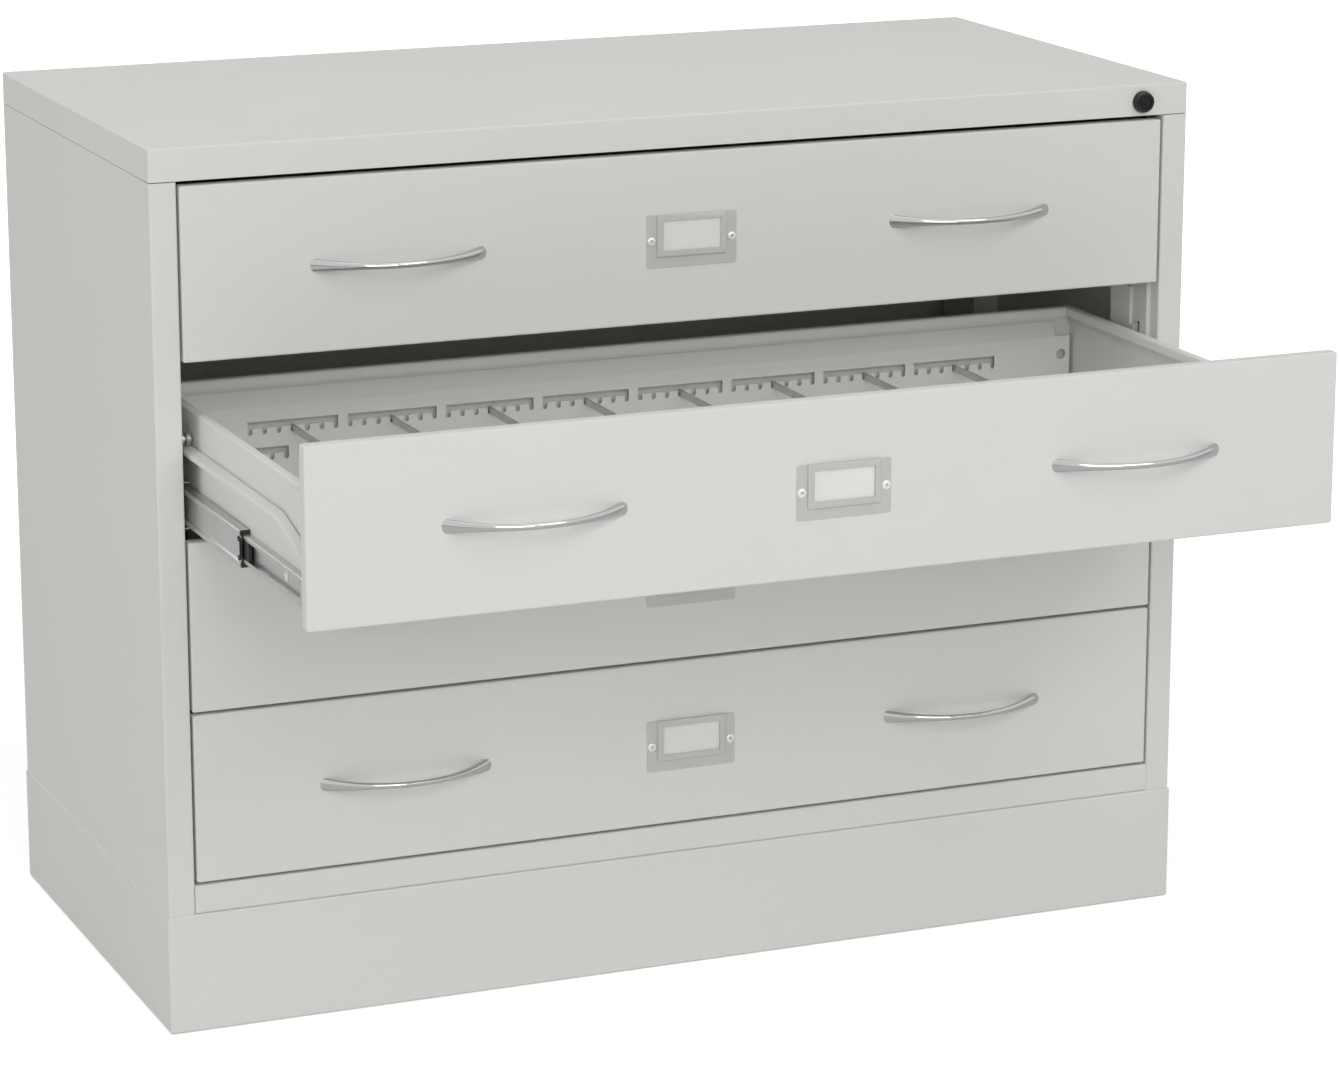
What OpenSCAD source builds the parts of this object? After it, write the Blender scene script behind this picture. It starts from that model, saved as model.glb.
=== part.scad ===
// Steel media cabinet with four wide drawers on full-extension slides.
// Millimetres. X runs along the front, Y from front to back, Z up. The origin is on the floor, in the
// middle of the width, and in the middle of the overall depth with the second drawer drawn out.

/* [Carcass] */
// Width over the side panels
cabinet_w = 1067; // [980:1:1250]
// Depth from the closed drawer fronts to the back
cabinet_d = 517; // [460:1:600]
// Height from the floor to the top
cabinet_h = 848; // [780:1:1000]
// Sheet thickness of the carcass
body_sheet = 1.2; // [0.8:0.1:1.6]
// Height of the lip round the top panel
lip_h = 31.2; // [28:0.1:40]
// Dark gap between the lip and the top drawer front
lip_gap = 4.8; // [3:0.1:8]
// Width of the side panels' front flanges
flange_w = 26.1; // [22:0.1:32]
// Depth of the returns behind the front flanges
return_d = 17; // [14:0.5:20]
// Width of the side panels' rear flanges
rear_flange_w = 15; // [10:0.5:24]
// Height of the rail below the lowest front
rail_h = 28; // [22:0.5:40]
// Upturned edges of the bottom panel
pan_edge_h = 14; // [8:0.5:20]
// Overlap of the side panels inside the top panel
tongue_h = 17; // [10:0.5:24]

/* [Plinth] */
// Height of the plinth
plinth_h = 116.5; // [80:0.5:150]
// How far the plinth stands proud of the front and sides
plinth_proud = 1.5; // [0.5:0.1:4]
// Sheet thickness of the plinth
plinth_sheet = 1.5; // [1:0.1:2.5]
// Width of the plinth's turned-in flanges
plinth_flange = 25; // [15:0.5:40]

/* [Uprights] */
// Step of the uprights inwards from the front flanges
post_step = 4; // [2:0.1:6]
// Depth of each upright, front to back
post_w = 72; // [60:0.5:84]
// Raise of the pads on the right upright
pad_t = 2.9; // [1:0.1:4]
// Distance from the upright's front face to the pads
pad_setback = 30; // [24:0.5:40]

/* [Drawer fronts] */
// Gap between two drawer fronts
front_gap = 2.8; // [2:0.1:5]
// Gap between the lowest front and the rail
bottom_gap = 2.5; // [1.5:0.1:5]
// Gap between a front and the side flanges
side_gap = 2.4; // [1.5:0.1:3.5]
// Depth of the folded front pan
front_d = 12; // [10:0.5:16]
// Sheet thickness of the drawers
drawer_sheet = 1; // [0.8:0.1:1.4]
// How far the second drawer is drawn out
open_by = 350; // [0:1:410]

/* [Drawer boxes] */
// Height of the box's lower edge above the front's lower edge
box_z = 8; // [4:0.5:9]
// Height of the box sides
box_h = 108; // [100:0.5:115]
// Height of the box's front wall
box_front_h = 128; // [118:0.5:132]
// Width of the turned-in rim
rim_w = 9.5; // [7:0.5:12]
// Depth of the rim's turned-down lip
rim_lip = 4.5; // [3:0.5:8]
// Clearance between a closed drawer and the back panel
rear_clear = 8.8; // [5:0.1:20]
// Height of the side ledge's upper edge above the front's lower edge
ledge_z = 83.5; // [80:0.5:90]
// How far the side ledge stands out
ledge_w = 10; // [8:0.1:11]
// Fall of the ledge from the box side to its outer edge
ledge_fall = 3; // [1:0.1:4]
// Height of the ledge's outer lip
ledge_lip = 4.5; // [3:0.1:6]
// Distance from the front's face to the level part of the ledge
ledge_level_y = 106; // [90:1:120]
// Distance from the front's face to the ledge's front end
ledge_start_y = 20; // [18:0.5:60]
// Drop of the ledge's front end
ledge_drop = 21; // [8:0.5:26]
// Length of the bend between the level and the falling part
ledge_bend = 10; // [4:0.5:16]
// Space between the ledge's rear end and the box's back
ledge_rear_gap = 60; // [10:1:120]
// Height of the ears' lower edge above the front's lower edge
ear_z = 97; // [95:0.5:100]
// Reach of the ears that lap the box sides, from the front's face
ear_reach = 96; // [60:1:110]
// Corner radius of the ears
ear_r = 6; // [3:0.5:9]
// Reach of the ears' lower step, from the front's face
ear_step_reach = 82; // [50:1:90]

/* [Slotted plates] */
// Space between a slotted plate and the wall behind it
plate_gap = 7.7; // [6:0.1:10]
// Gap between a plate's ends and the box sides
plate_end_gap = 4.5; // [1:0.1:8]
// Height of the plates' upper bend above the front's lower edge
plate_z = 86.4; // [82:0.1:92]
// Rise of the leaning upper flange
plate_lean_h = 15; // [10:0.5:16]
// Shortening of the upper flange at each corner
plate_notch = 16; // [8:0.5:24]
// Spacing of the comb slots
group_pitch = 101.1; // [96:0.1:110]
// Spacing of the notches in a comb slot
notch_pitch = 14.45; // [13.2:0.05:14.6]
// Width of a notch
notch_w = 4.8; // [4:0.1:6]
// Depth of a notch below its slot
notch_d = 6.4; // [5:0.1:7.5]
// Height of a slot above its notches
slot_h = 6.4; // [5:0.1:8]
// Height of the upper slots' top above the front's lower edge
upper_row_z = 71.4; // [69:0.1:76]
// Spacing of the two rows of slots
row_pitch = 25.8; // [20:0.1:30]
// Diameter of the hole near each end of a plate
plate_hole_d = 10.5; // [6:0.5:13]
// Distance of that hole from the plate's end
plate_hole_inset = 9.6; // [8:0.1:14]

/* [Dividers] */
// Thickness of a divider bar
divider_t = 2; // [1.2:0.1:3]
// Height of a divider bar
divider_h = 7; // [5:0.1:9]
// Length of the hook below the bar
hook_drop = 5; // [3:0.1:8]

/* [Handles] */
// Length of a handle
handle_l = 173; // [140:1:200]
// How far a handle stands out
handle_out = 33; // [28:0.5:40]
// Distance of each handle's centre from the middle of the front
handle_x = 295; // [200:1:380]
// Height of a handle at its ends
handle_end_h = 12.6; // [9:0.1:16]
// Height of a handle at its middle
handle_mid_h = 5.8; // [4:0.1:9]
// Thickness of a handle at its ends
handle_end_t = 6.4; // [5:0.1:8]
// Thickness of a handle at its middle
handle_mid_t = 5; // [4:0.1:7]
// Diameter of the handle screws
handle_screw_d = 4; // [3:0.1:5]

/* [Label holders] */
// Width of a label holder
label_w = 93; // [80:0.5:110]
// Height of a label holder
label_h = 51.4; // [45:0.1:60]
// Thickness of its plate and of its raised frame
label_t = 0.8; // [0.5:0.1:1.2]
// Width of the raised frame
label_frame_w = 72.2; // [64:0.1:80]
// Height of the raised frame
label_frame_h = 41.3; // [36:0.1:46]
// Raise of the frame
label_raise = 3; // [2:0.1:5]
// Width of the frame's bars round the window
label_bar = 6.3; // [4:0.1:9]
// Thickness of the card
card_t = 0.5; // [0.3:0.1:1]
// Diameter of the rivet heads
rivet_d = 6.8; // [5:0.1:8]
// Distance of the rivets from the holder's ends
rivet_inset = 5; // [4:0.1:6]

/* [Slides] */
// Room for a slide between an upright and the box
slide_t = 12.4; // [11.6:0.1:14]
// Height of the cabinet member
slide_outer_h = 45; // [42:0.5:48]
// Height of the middle member
slide_middle_h = 34.5; // [32:0.5:36]
// Height of the drawer member
slide_inner_h = 26.7; // [24:0.1:28]
// Sheet thickness of the members
slide_sheet = 1.1; // [0.9:0.1:1.3]
// Height of a slide's middle above the front's lower edge
slide_z = 26.3; // [25:0.1:30]
// Distance from the closed front's face to the slides' front ends
slide_setback = 27; // [24:0.5:32]
// How far the drawer member starts behind the other two
slide_nose = 7; // [2:0.5:10]
// Space between the slides' rear ends and the box's back
slide_rear_gap = 30; // [10:1:60]
// Length of a ball retainer
retainer_l = 190; // [120:1:240]
// Diameter of the slide screws' heads
slide_screw_d = 11; // [8:0.1:12]
// Distance from the front's face to the first slide screw
slide_screw_y = 95; // [70:1:120]

/* [Interlock and lock] */
// Diameter of an interlock roller
roller_d = 12.4; // [10:0.1:15]
// Thickness of an interlock roller
roller_t = 5; // [3:0.1:6]
// Gap between an interlock roller and the box side
roller_gap = 1.5; // [1.3:0.1:3]
// Distance from the closed front's face to the roller's axle
roller_y = 27.5; // [26:0.5:32]
// Distance of the lock's axis from the right side
lock_inset = 50; // [46:0.5:58]
// Diameter of the lock's barrel
barrel_d = 18.8; // [16:0.1:20]
// Diameter of the lock's bezel
bezel_d = 22.4; // [21:0.1:25]
// How far the bezel stands out
bezel_out = 6.5; // [3:0.1:8]
// Difference between the bezel's diameters at its back and its face
bezel_taper = 3; // [1:0.1:6]
// Diameter of the keyed core
core_d = 12.6; // [10:0.1:13.5]
// Drop of the lock bar over the quarter turn of the core
lock_drop = 8; // [7:0.1:9]
// Width of the lock bar
lock_bar_w = 12; // [9:0.5:16]
// Thickness of the lock bar and its fingers
lock_bar_t = 2; // [1.5:0.1:2.6]
// Height of a finger and of a drawer's lug
finger_h = 10; // [8:0.5:12]
// Height of a drawer's lug above the front's lower edge
lug_z = 96; // [94:0.5:100]
// How far a drawer's lug stands out
lug_w = 7.5; // [6:0.1:8.5]

/* [Hidden] */
$fn = 48;

drawers = [1, 2, 3, 4];
open_drawer = 2;
drawer_parts = ["front", "box", "slotted_plates", "dividers", "handles", "label_holder", "label_card",
    "fasteners", "slide_members", "middle_members", "ball_retainers"];

// Clearances
seat = 0.3;
run = 0.1;
weld_gap = 0.1;
hole_gap = 0.3;
cut = 1;

// Carcass
half_w = cabinet_w / 2;
inner_w = half_w - body_sheet;
back_y = cabinet_d - body_sheet;
lip_z = cabinet_h - lip_h;
floor_z = plinth_h + body_sheet;
post_face = flange_w + post_step;
post_x = half_w - post_face;
flange_x = half_w - flange_w;
post_top = lip_z - tongue_h;
rail_front = 30;
pad_gap = 4;
pad_top_gap = 10;
window_gap = 2;

// Drawer fronts
count = len(drawers);
front_h = (lip_z - lip_gap - plinth_h - rail_h - bottom_gap - (count - 1) * front_gap) / count;
front_half_w = flange_x - side_gap;
function front_z(i) = plinth_h + rail_h + bottom_gap + (count - i) * (front_h + front_gap);

// Drawer boxes
box_x = post_x - slide_t;
box_in_x = box_x - drawer_sheet;
box_rear = back_y - rear_clear;
box_top = box_z + box_h;
wall_y = front_d + drawer_sheet;
rear_wall_y = box_rear - drawer_sheet;
ledge_slope = ledge_drop / (ledge_level_y - ledge_start_y - ledge_bend / 2);
ear_step_gap = 0.8;

// Slotted plates and dividers
plate_half_w = box_in_x - plate_end_gap;
rear_plate_y = rear_wall_y - plate_gap - drawer_sheet;
front_plate_y = wall_y + plate_gap;
notches = 7;
slot_w = (notches - 1) * notch_pitch + notch_w;
lower_groups = floor((2 * plate_half_w - 2 * slot_w / 3 + group_pitch - slot_w) / group_pitch);
upper_groups = lower_groups - 1;
notch_z = upper_row_z - slot_h - notch_d;
hook_t = 2.5;
hook_y = seat + hook_t;
plate_hole_drop = 4;
notch_corner = notch_w * 0.3;

// Slides
slide_l = box_rear - slide_setback - slide_rear_gap;
outer_inset = 3;
middle_x = 1.8;
middle_reach = slide_t - slide_sheet - seat;
inner_reach = 7;
retainer_start = 0.5;
outer_retainer_x = 2;
outer_retainer_end = 4;
inner_retainer_x = 5;
inner_retainer_end = 2.4;
stop_t = 1.6;
stop_wide = 0.5;
stop_tall = 2;
stop_l = 14;
slide_screw_y2 = slide_setback + slide_l - (slide_screw_y - slide_setback);
rear_post_y = slide_setback + slide_l - post_w;

// Interlock
roller_pin_d = roller_d * 0.4;

// Lock
lock_x = half_w - lock_inset;
lock_below_middle = 1.7;
bar_side_gap = 0.9;
bar_back_gap = 14.8;
finger_gap = 3;
lug_gap = 4;
lock_z = cabinet_h - lip_h / 2 - lock_below_middle;
bar_x = post_x + body_sheet + bar_side_gap;
bar_y = return_d + body_sheet + bar_back_gap;
finger_z = lug_z + finger_h + finger_gap;
finger_reach = 10;
lug_y = bar_y + lock_bar_t + lug_gap;
lug_t = 3;
crank_r = lock_drop;
crank_pin_r = 2;
crank_rim = 1;
crank_gap = 2;
crank_t = 2;
crank_y = bar_y - crank_gap;
pin_end = 1;
nut_t = 4;
nut_rim = 5;
core_setback = 0.4;
keyway_w = 1.6;
keyway_h = 9;
keyway_d = 3;
arm_h = 9;
arm_end = 5;
slot_gap = 0.4;
slot_side = 0.5;

// Share of its drop by which the bar leads the pin, as the pin moves on a circle and the bar evenly
slot_lead = 0.22;

// Handles
handle_screw_inset = 8;
handle_half = handle_l / 2 - handle_screw_inset;
handle_rings = 23;
handle_sides = 12;
handle_tip = 2;
handle_end_gap = 0.2;
bow_half = handle_l / 2 - handle_end_t / 2 - handle_tip;
bow_out = handle_out - handle_mid_t / 2;
bow_spread = 0.94;

// Label holders
label_drop = 2;
label_z = front_h / 2 - label_h / 2 - label_drop;
frame_low = label_h - label_frame_h;
card_drop = 1;

// Screws and rivets
rivet_h = 1.5;
rivet_taper = 2;
rivet_floor = 0.5;
handle_head_t = 2.4;
rivet_shank_d = rivet_d * 0.5;
rivet_bore_d = rivet_d * 0.36;
slide_head_t = 1.8;
slide_screw_end = 1;
cross_w = 1;
cross_h = slide_screw_d * 0.3;
cross_d = 0.6;

// Overall depth with the open drawer, which fixes the origin
front_reach = open_by + handle_out;
mid_y = (cabinet_d - front_reach) / 2;

// Finishes
paint = [0.80, 0.80, 0.78];
zinc = [0.66, 0.67, 0.66];
chrome = [0.83, 0.84, 0.85];
satin = [0.68, 0.69, 0.67];
black = [0.07, 0.07, 0.07];
paper = [0.82, 0.83, 0.80];

// Shared shapes
module stand() {
    translate([0, -mid_y, 0]) children();
}

module with_drawer(i) {
    stand() translate([0, i == open_drawer ? -open_by : 0, front_z(i)]) children();
}

module with_middle(i) {
    stand() translate([0, i == open_drawer ? -open_by / 2 : 0, front_z(i)]) children();
}

module both_sides() {
    children();
    mirror([1, 0, 0]) children();
}

// Box between two corners
module block(low, high) {
    translate(low) cube(high - low);
}

// Outline drawn in XZ, extruded along Y from y0 for a length
module along_y(y0, length) {
    translate([0, y0 + length, 0]) rotate([90, 0, 0]) linear_extrude(length) children();
}

// Outline drawn in YZ, extruded along X from x0 for a length
module along_x(x0, length) {
    translate([x0, 0, 0]) rotate([90, 0, 90]) linear_extrude(length) children();
}

// Round bar along Y
module rod_y(x, y0, z, length, d) {
    translate([x, y0, z]) rotate([-90, 0, 0]) cylinder(h = length, d = d);
}

// Round bar along X
module rod_x(x0, y, z, length, d) {
    translate([x0, y, z]) rotate([0, 90, 0]) cylinder(h = length, d = d);
}

// Carcass
module top_panel() {
    color(paint) difference() {
        block([-half_w, 0, lip_z], [half_w, cabinet_d, cabinet_h]);
        block([-inner_w, body_sheet, lip_z - cut], [inner_w, back_y, cabinet_h - body_sheet]);
        rod_y(lock_x, -cut, lock_z, body_sheet + 2 * cut, barrel_d + 2 * hole_gap);
    }
}

// Plan outline of the right side panel: sheet, front flange with its return, and rear flange
module side_outline() {
    polygon([
        [half_w, 0], [half_w, cabinet_d], [half_w - rear_flange_w, cabinet_d],
        [half_w - rear_flange_w, back_y], [inner_w, back_y], [inner_w, body_sheet],
        [flange_x + body_sheet, body_sheet], [flange_x + body_sheet, return_d],
        [flange_x, return_d], [flange_x, 0]]);
}

module side_panel() {
    color(paint) {
        translate([0, 0, plinth_h]) linear_extrude(lip_z - plinth_h) side_outline();
        block([inner_w - body_sheet, return_d, post_top], [inner_w, back_y - seat, cabinet_h - body_sheet]);
        block([inner_w - body_sheet, return_d, post_top], [half_w - body_sheet / 2, back_y - seat, lip_z]);
    }
}

module left_side_panel() {
    mirror([1, 0, 0]) side_panel();
}

module right_side_panel() {
    side_panel();
}

module back_panel() {
    back_x = half_w - rear_flange_w;
    color(paint) block([-back_x, back_y, plinth_h], [back_x, cabinet_d, lip_z]);
}

module bottom_panel() {
    color(paint) difference() {
        block([-inner_w, return_d, plinth_h], [inner_w, back_y, floor_z + pan_edge_h]);
        block([body_sheet - inner_w, return_d - cut, floor_z],
              [inner_w - body_sheet, back_y - body_sheet, floor_z + pan_edge_h + cut]);
    }
}

module top_rail() {
    web_y = 2 * body_sheet;
    rail_x = inner_w - body_sheet;
    color(paint) difference() {
        block([-rail_x, body_sheet, lip_z + body_sheet], [rail_x, rail_front, cabinet_h - body_sheet]);
        block([-rail_x - cut, web_y, lip_z + 2 * body_sheet],
              [rail_x + cut, rail_front + cut, cabinet_h - 2 * body_sheet]);
        rod_y(lock_x, 0, lock_z, web_y + cut, barrel_d + 2 * hole_gap);
    }
}

module bottom_rail() {
    color(paint) difference() {
        block([-flange_x, 0, plinth_h], [flange_x, return_d, plinth_h + rail_h]);
        block([-flange_x - cut, body_sheet, floor_z],
              [flange_x + cut, return_d + cut, plinth_h + rail_h - body_sheet]);
    }
}

module plinth_base() {
    out_x = half_w + plinth_proud;
    out_y = -plinth_proud;
    color(paint) difference() {
        block([-out_x, out_y, 0], [out_x, cabinet_d, plinth_h]);
        block([plinth_sheet - out_x, out_y + plinth_sheet, plinth_sheet],
              [out_x - plinth_sheet, cabinet_d - plinth_sheet, plinth_h - plinth_sheet]);
        block([plinth_flange - out_x, out_y + plinth_flange, -cut],
              [out_x - plinth_flange, cabinet_d - plinth_flange, plinth_h + cut]);
    }
}

// Upright on the right side: a channel open towards the side panel
module post(y0) {
    difference() {
        block([post_x, y0, floor_z + pan_edge_h], [inner_w, y0 + post_w, post_top]);
        block([post_x + body_sheet, y0 + body_sheet, floor_z],
              [inner_w + cut, y0 + post_w - body_sheet, post_top + cut]);
    }
}

// Pads between the slides, and windows for the lock bar's fingers
module right_front_post() {
    window_z = finger_z - lock_drop - window_gap;
    pad_y = return_d + pad_setback;
    difference() {
        post(return_d);
        for (i = drawers) {
            block([post_x - cut, bar_y - window_gap, front_z(i) + window_z],
                  [post_x + body_sheet + cut, bar_y + lock_bar_t + window_gap,
                   front_z(i) + finger_z + finger_h + window_gap]);
        }
    }
    for (i = drawers) {
        block([post_x - pad_t, pad_y, front_z(i) + slide_z + slide_outer_h / 2 + pad_gap],
              [post_x, return_d + post_w, front_z(i) + front_h - pad_top_gap]);
    }
}

module front_posts() {
    color(paint) {
        right_front_post();
        mirror([1, 0, 0]) post(return_d);
    }
}

module rear_posts() {
    color(paint) both_sides() post(rear_post_y);
}

// Channel section that opens inwards, in XZ: x grows from the upright towards the box
module channel(h, reach) {
    polygon([
        [0, -h / 2], [reach, -h / 2], [reach, slide_sheet - h / 2], [slide_sheet, slide_sheet - h / 2],
        [slide_sheet, h / 2 - slide_sheet], [reach, h / 2 - slide_sheet], [reach, h / 2], [0, h / 2]]);
}

module cabinet_slides() {
    color(zinc) for (i = drawers) {
        translate([0, 0, front_z(i) + slide_z]) both_sides() translate([-post_x, 0, 0])
            along_y(slide_setback, slide_l) channel(slide_outer_h, slide_t - outer_inset);
    }
}

module interlock_rollers() {
    roller_x = -box_x - roller_gap - roller_t;
    roller_z = ledge_z - ledge_fall * roller_gap / ledge_w + seat + roller_d / 2;
    color(zinc) for (i = drawers) {
        translate([0, 0, front_z(i) + roller_z]) {
            rod_x(-post_x, roller_y, 0, roller_x + roller_t + post_x, roller_pin_d);
            difference() {
                rod_x(roller_x, roller_y, 0, roller_t, roller_d);
                rod_x(roller_x - cut, roller_y, 0, roller_t + 2 * cut, roller_pin_d + 2 * run);
            }
        }
    }
}

// Lock
module lock_housing() {
    color(black) difference() {
        union() {
            translate([lock_x, -bezel_out, lock_z]) rotate([-90, 0, 0])
                cylinder(h = bezel_out, d1 = bezel_d - bezel_taper, d2 = bezel_d);
            rod_y(lock_x, 0, lock_z, crank_y - crank_t - seat, barrel_d);
        }
        rod_y(lock_x, -bezel_out - cut, lock_z, bezel_out + crank_y + 2 * cut, core_d + 2 * run);
    }
    color(zinc) difference() {
        translate([lock_x, 2 * body_sheet, lock_z]) rotate([-90, 0, 0])
            cylinder(h = nut_t, d = barrel_d + nut_rim, $fn = 6);
        rod_y(lock_x, 0, lock_z, 2 * body_sheet + nut_t + cut, barrel_d + 2 * run);
    }
}

module lock_core() {
    color(black) {
        difference() {
            rod_y(lock_x, core_setback - bezel_out, lock_z, bezel_out + crank_y - core_setback, core_d);
            block([lock_x - keyway_w / 2, -bezel_out, lock_z - keyway_h / 2],
                  [lock_x + keyway_w / 2, keyway_d, lock_z + keyway_h / 2]);
        }
        rod_y(lock_x, crank_y - crank_t, lock_z, crank_t, 2 * (crank_r + crank_pin_r + crank_rim));
        rod_y(lock_x + crank_r, crank_y - cut, lock_z, cut + crank_gap + lock_bar_t + pin_end,
              2 * crank_pin_r);
    }
}

module lock_bar() {
    slot_top = crank_pin_r + slot_gap;
    slot_low = slot_top + slot_lead * lock_drop;
    low_z = front_z(count) + finger_z;
    color(zinc) along_y(bar_y, lock_bar_t) difference() {
        union() {
            translate([bar_x, low_z]) square([lock_bar_w, lock_z + arm_h - low_z]);
            translate([lock_x - crank_pin_r - arm_end, lock_z - arm_h])
                square([bar_x + lock_bar_w - lock_x + crank_pin_r + arm_end, 2 * arm_h]);
            for (i = drawers) {
                translate([bar_x - finger_reach, front_z(i) + finger_z])
                    square([finger_reach + lock_bar_w, finger_h]);
            }
        }
        translate([lock_x - crank_pin_r - slot_side, lock_z - slot_low])
            square([crank_r + 2 * crank_pin_r + 2 * slot_side, slot_low + slot_top]);
    }
}

// Drawer front: a pan folded back on four edges, with holes for the handle screws
module front() {
    color(paint) difference() {
        block([-front_half_w, 0, 0], [front_half_w, front_d, front_h]);
        block([drawer_sheet - front_half_w, drawer_sheet, drawer_sheet],
              [front_half_w - drawer_sheet, front_d + cut, front_h - drawer_sheet]);
        handle_screw_holes(0, drawer_sheet);
    }
}

module handle_screw_holes(y0, depth) {
    for (side = [-1, 1]) for (end = [-1, 1]) {
        rod_y(side * handle_x + end * handle_half, y0 - cut, front_h / 2, depth + 2 * cut,
              handle_screw_d + 2 * hole_gap);
    }
}

// Profile of a rimmed wall: the wall's outer face is at 0 and the rim turns inwards
module rimmed_wall() {
    polygon([
        [0, box_z], [drawer_sheet, box_z], [drawer_sheet, box_top - drawer_sheet],
        [rim_w - drawer_sheet, box_top - drawer_sheet], [rim_w - drawer_sheet, box_top - rim_lip],
        [rim_w, box_top - rim_lip], [rim_w, box_top], [0, box_top]]);
}

// Section of the ledge in XZ, from the box side at x = 0 outwards
function ledge_section() = [
    [-weld_gap, 0], [-ledge_w, -ledge_fall], [-ledge_w, -ledge_fall - ledge_lip],
    [drawer_sheet - ledge_w, -ledge_fall - ledge_lip],
    [drawer_sheet - ledge_w, -ledge_fall - drawer_sheet], [-weld_gap, -drawer_sheet]];

// Side ledge for the interlock: level to the rear, falling towards the front
module ledge() {
    stations = [
        [box_rear - ledge_rear_gap, 0], [ledge_level_y, 0],
        [ledge_level_y - ledge_bend, ledge_slope * ledge_bend / 2], [ledge_start_y, ledge_drop]];
    outline = ledge_section();
    n = len(outline);
    last = n * (len(stations) - 1);
    sides = [for (s = [0 : len(stations) - 2]) for (k = [0 : n - 1])
        let (a = s * n, b = a + n, next = (k + 1) % n) [a + k, b + k, b + next, a + next]];
    translate([-box_x, 0, ledge_z]) polyhedron(
        points = [for (s = stations) for (p = outline) [p.x, s[0], p.y - s[1]]],
        faces = concat(
            [[0, 1, 4, 5], [1, 2, 3, 4]],
            [[last + 5, last + 4, last + 1, last], [last + 4, last + 3, last + 2, last + 1]],
            sides));
}

// Ear that laps the outside of the right box side behind the front, with a step that ends above the ledge
module ear() {
    step_z = ledge_z - ledge_slope * max(ledge_level_y - ledge_bend / 2 - ear_step_reach, 0) + ear_step_gap;
    along_x(box_x + weld_gap, drawer_sheet) {
        translate([front_d, step_z]) square([ear_step_reach - front_d, ear_z + ear_r - step_z]);
        difference() {
            translate([front_d, ear_z]) square([ear_reach - front_d, box_top - rim_lip - ear_z]);
            translate([ear_reach - ear_r, ear_z]) difference() {
                square(ear_r);
                translate([0, ear_r]) circle(r = ear_r);
            }
        }
    }
}

// Rear wall between the sides, with its rim between theirs
module box_rear_wall() {
    rim_x = box_x - rim_w - seat;
    wall_x = box_in_x - weld_gap;
    block([-wall_x, rear_wall_y, box_z], [wall_x, box_rear, box_top - rim_lip - weld_gap]);
    intersection() {
        translate([0, box_rear, 0]) mirror([0, 1, 0]) along_x(-rim_x, 2 * rim_x) rimmed_wall();
        block([-rim_x, 0, box_z], [rim_x, box_rear, box_top]);
    }
}

// Sheets of the box, welded to one another at seams
module box() {
    floor_x = box_in_x - weld_gap;
    lug_x = box_x + drawer_sheet + 2 * weld_gap;
    color(paint) {
        difference() {
            both_sides() translate([-box_x, 0, 0])
                along_y(wall_y + weld_gap, box_rear - wall_y - weld_gap) rimmed_wall();
            both_sides() for (y = [slide_screw_y, slide_screw_y2]) {
                rod_x(-box_x - cut, y, slide_z, drawer_sheet + 2 * cut, slide_screw_d / 2 + 2 * hole_gap);
            }
        }
        block([-floor_x, wall_y + weld_gap, box_z],
              [floor_x, rear_wall_y - weld_gap, box_z + drawer_sheet]);
        difference() {
            block([-box_x, front_d, box_z], [box_x, wall_y, box_z + box_front_h]);
            handle_screw_holes(front_d, drawer_sheet);
        }
        box_rear_wall();
        ledge();
        both_sides() ear();
        block([lug_x, lug_y, lug_z], [box_x + lug_w, lug_y + lug_t, lug_z + finger_h]);
    }
}

// Comb slot: a band with notches below it, its top edge at z = 0
function comb_slot() = let (
        low = -slot_h - notch_d,
        c = notch_corner,
        notch = function (k) let (x = -slot_w / 2 + notch_w / 2 + k * notch_pitch, h = notch_w / 2)
            concat(k < notches - 1 ? [[x + h, -slot_h]] : [],
                   [[x + h, low + c], [x + h - c, low], [x - h + c, low], [x - h, low + c]],
                   k > 0 ? [[x - h, -slot_h]] : [])
    )
    concat([[-slot_w / 2, 0], [slot_w / 2, 0]], [for (k = [notches - 1 : -1 : 0]) each notch(k)]);

module slot_row(groups, top_z) {
    for (g = [0 : groups - 1]) {
        translate([(g - (groups - 1) / 2) * group_pitch, top_z]) polygon(comb_slot());
    }
}

// One slotted plate with its face at y = 0, leaning back at the top
module slotted_plate() {
    floor_top = box_z + drawer_sheet;
    lean_x = plate_half_w - plate_notch;
    lean_y = plate_gap - seat;
    along_y(0, drawer_sheet) difference() {
        translate([-plate_half_w, floor_top]) square([2 * plate_half_w, plate_z - floor_top]);
        slot_row(upper_groups, upper_row_z);
        slot_row(lower_groups, upper_row_z - row_pitch);
        for (side = [-1, 1]) {
            translate([side * (plate_half_w - plate_hole_inset), upper_row_z - plate_hole_drop])
                circle(d = plate_hole_d);
        }
    }
    along_x(-lean_x, 2 * lean_x) polygon([
        [0, plate_z - drawer_sheet / 2], [drawer_sheet, plate_z - drawer_sheet / 2],
        [lean_y + drawer_sheet, plate_z + plate_lean_h], [lean_y, plate_z + plate_lean_h]]);
    block([-plate_half_w, drawer_sheet / 2, floor_top],
          [plate_half_w, plate_gap, floor_top + drawer_sheet]);
}

module slotted_plates() {
    color(paint) {
        translate([0, rear_plate_y, 0]) slotted_plate();
        translate([0, front_plate_y + drawer_sheet, 0]) mirror([0, 1, 0]) slotted_plate();
    }
}

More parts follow.
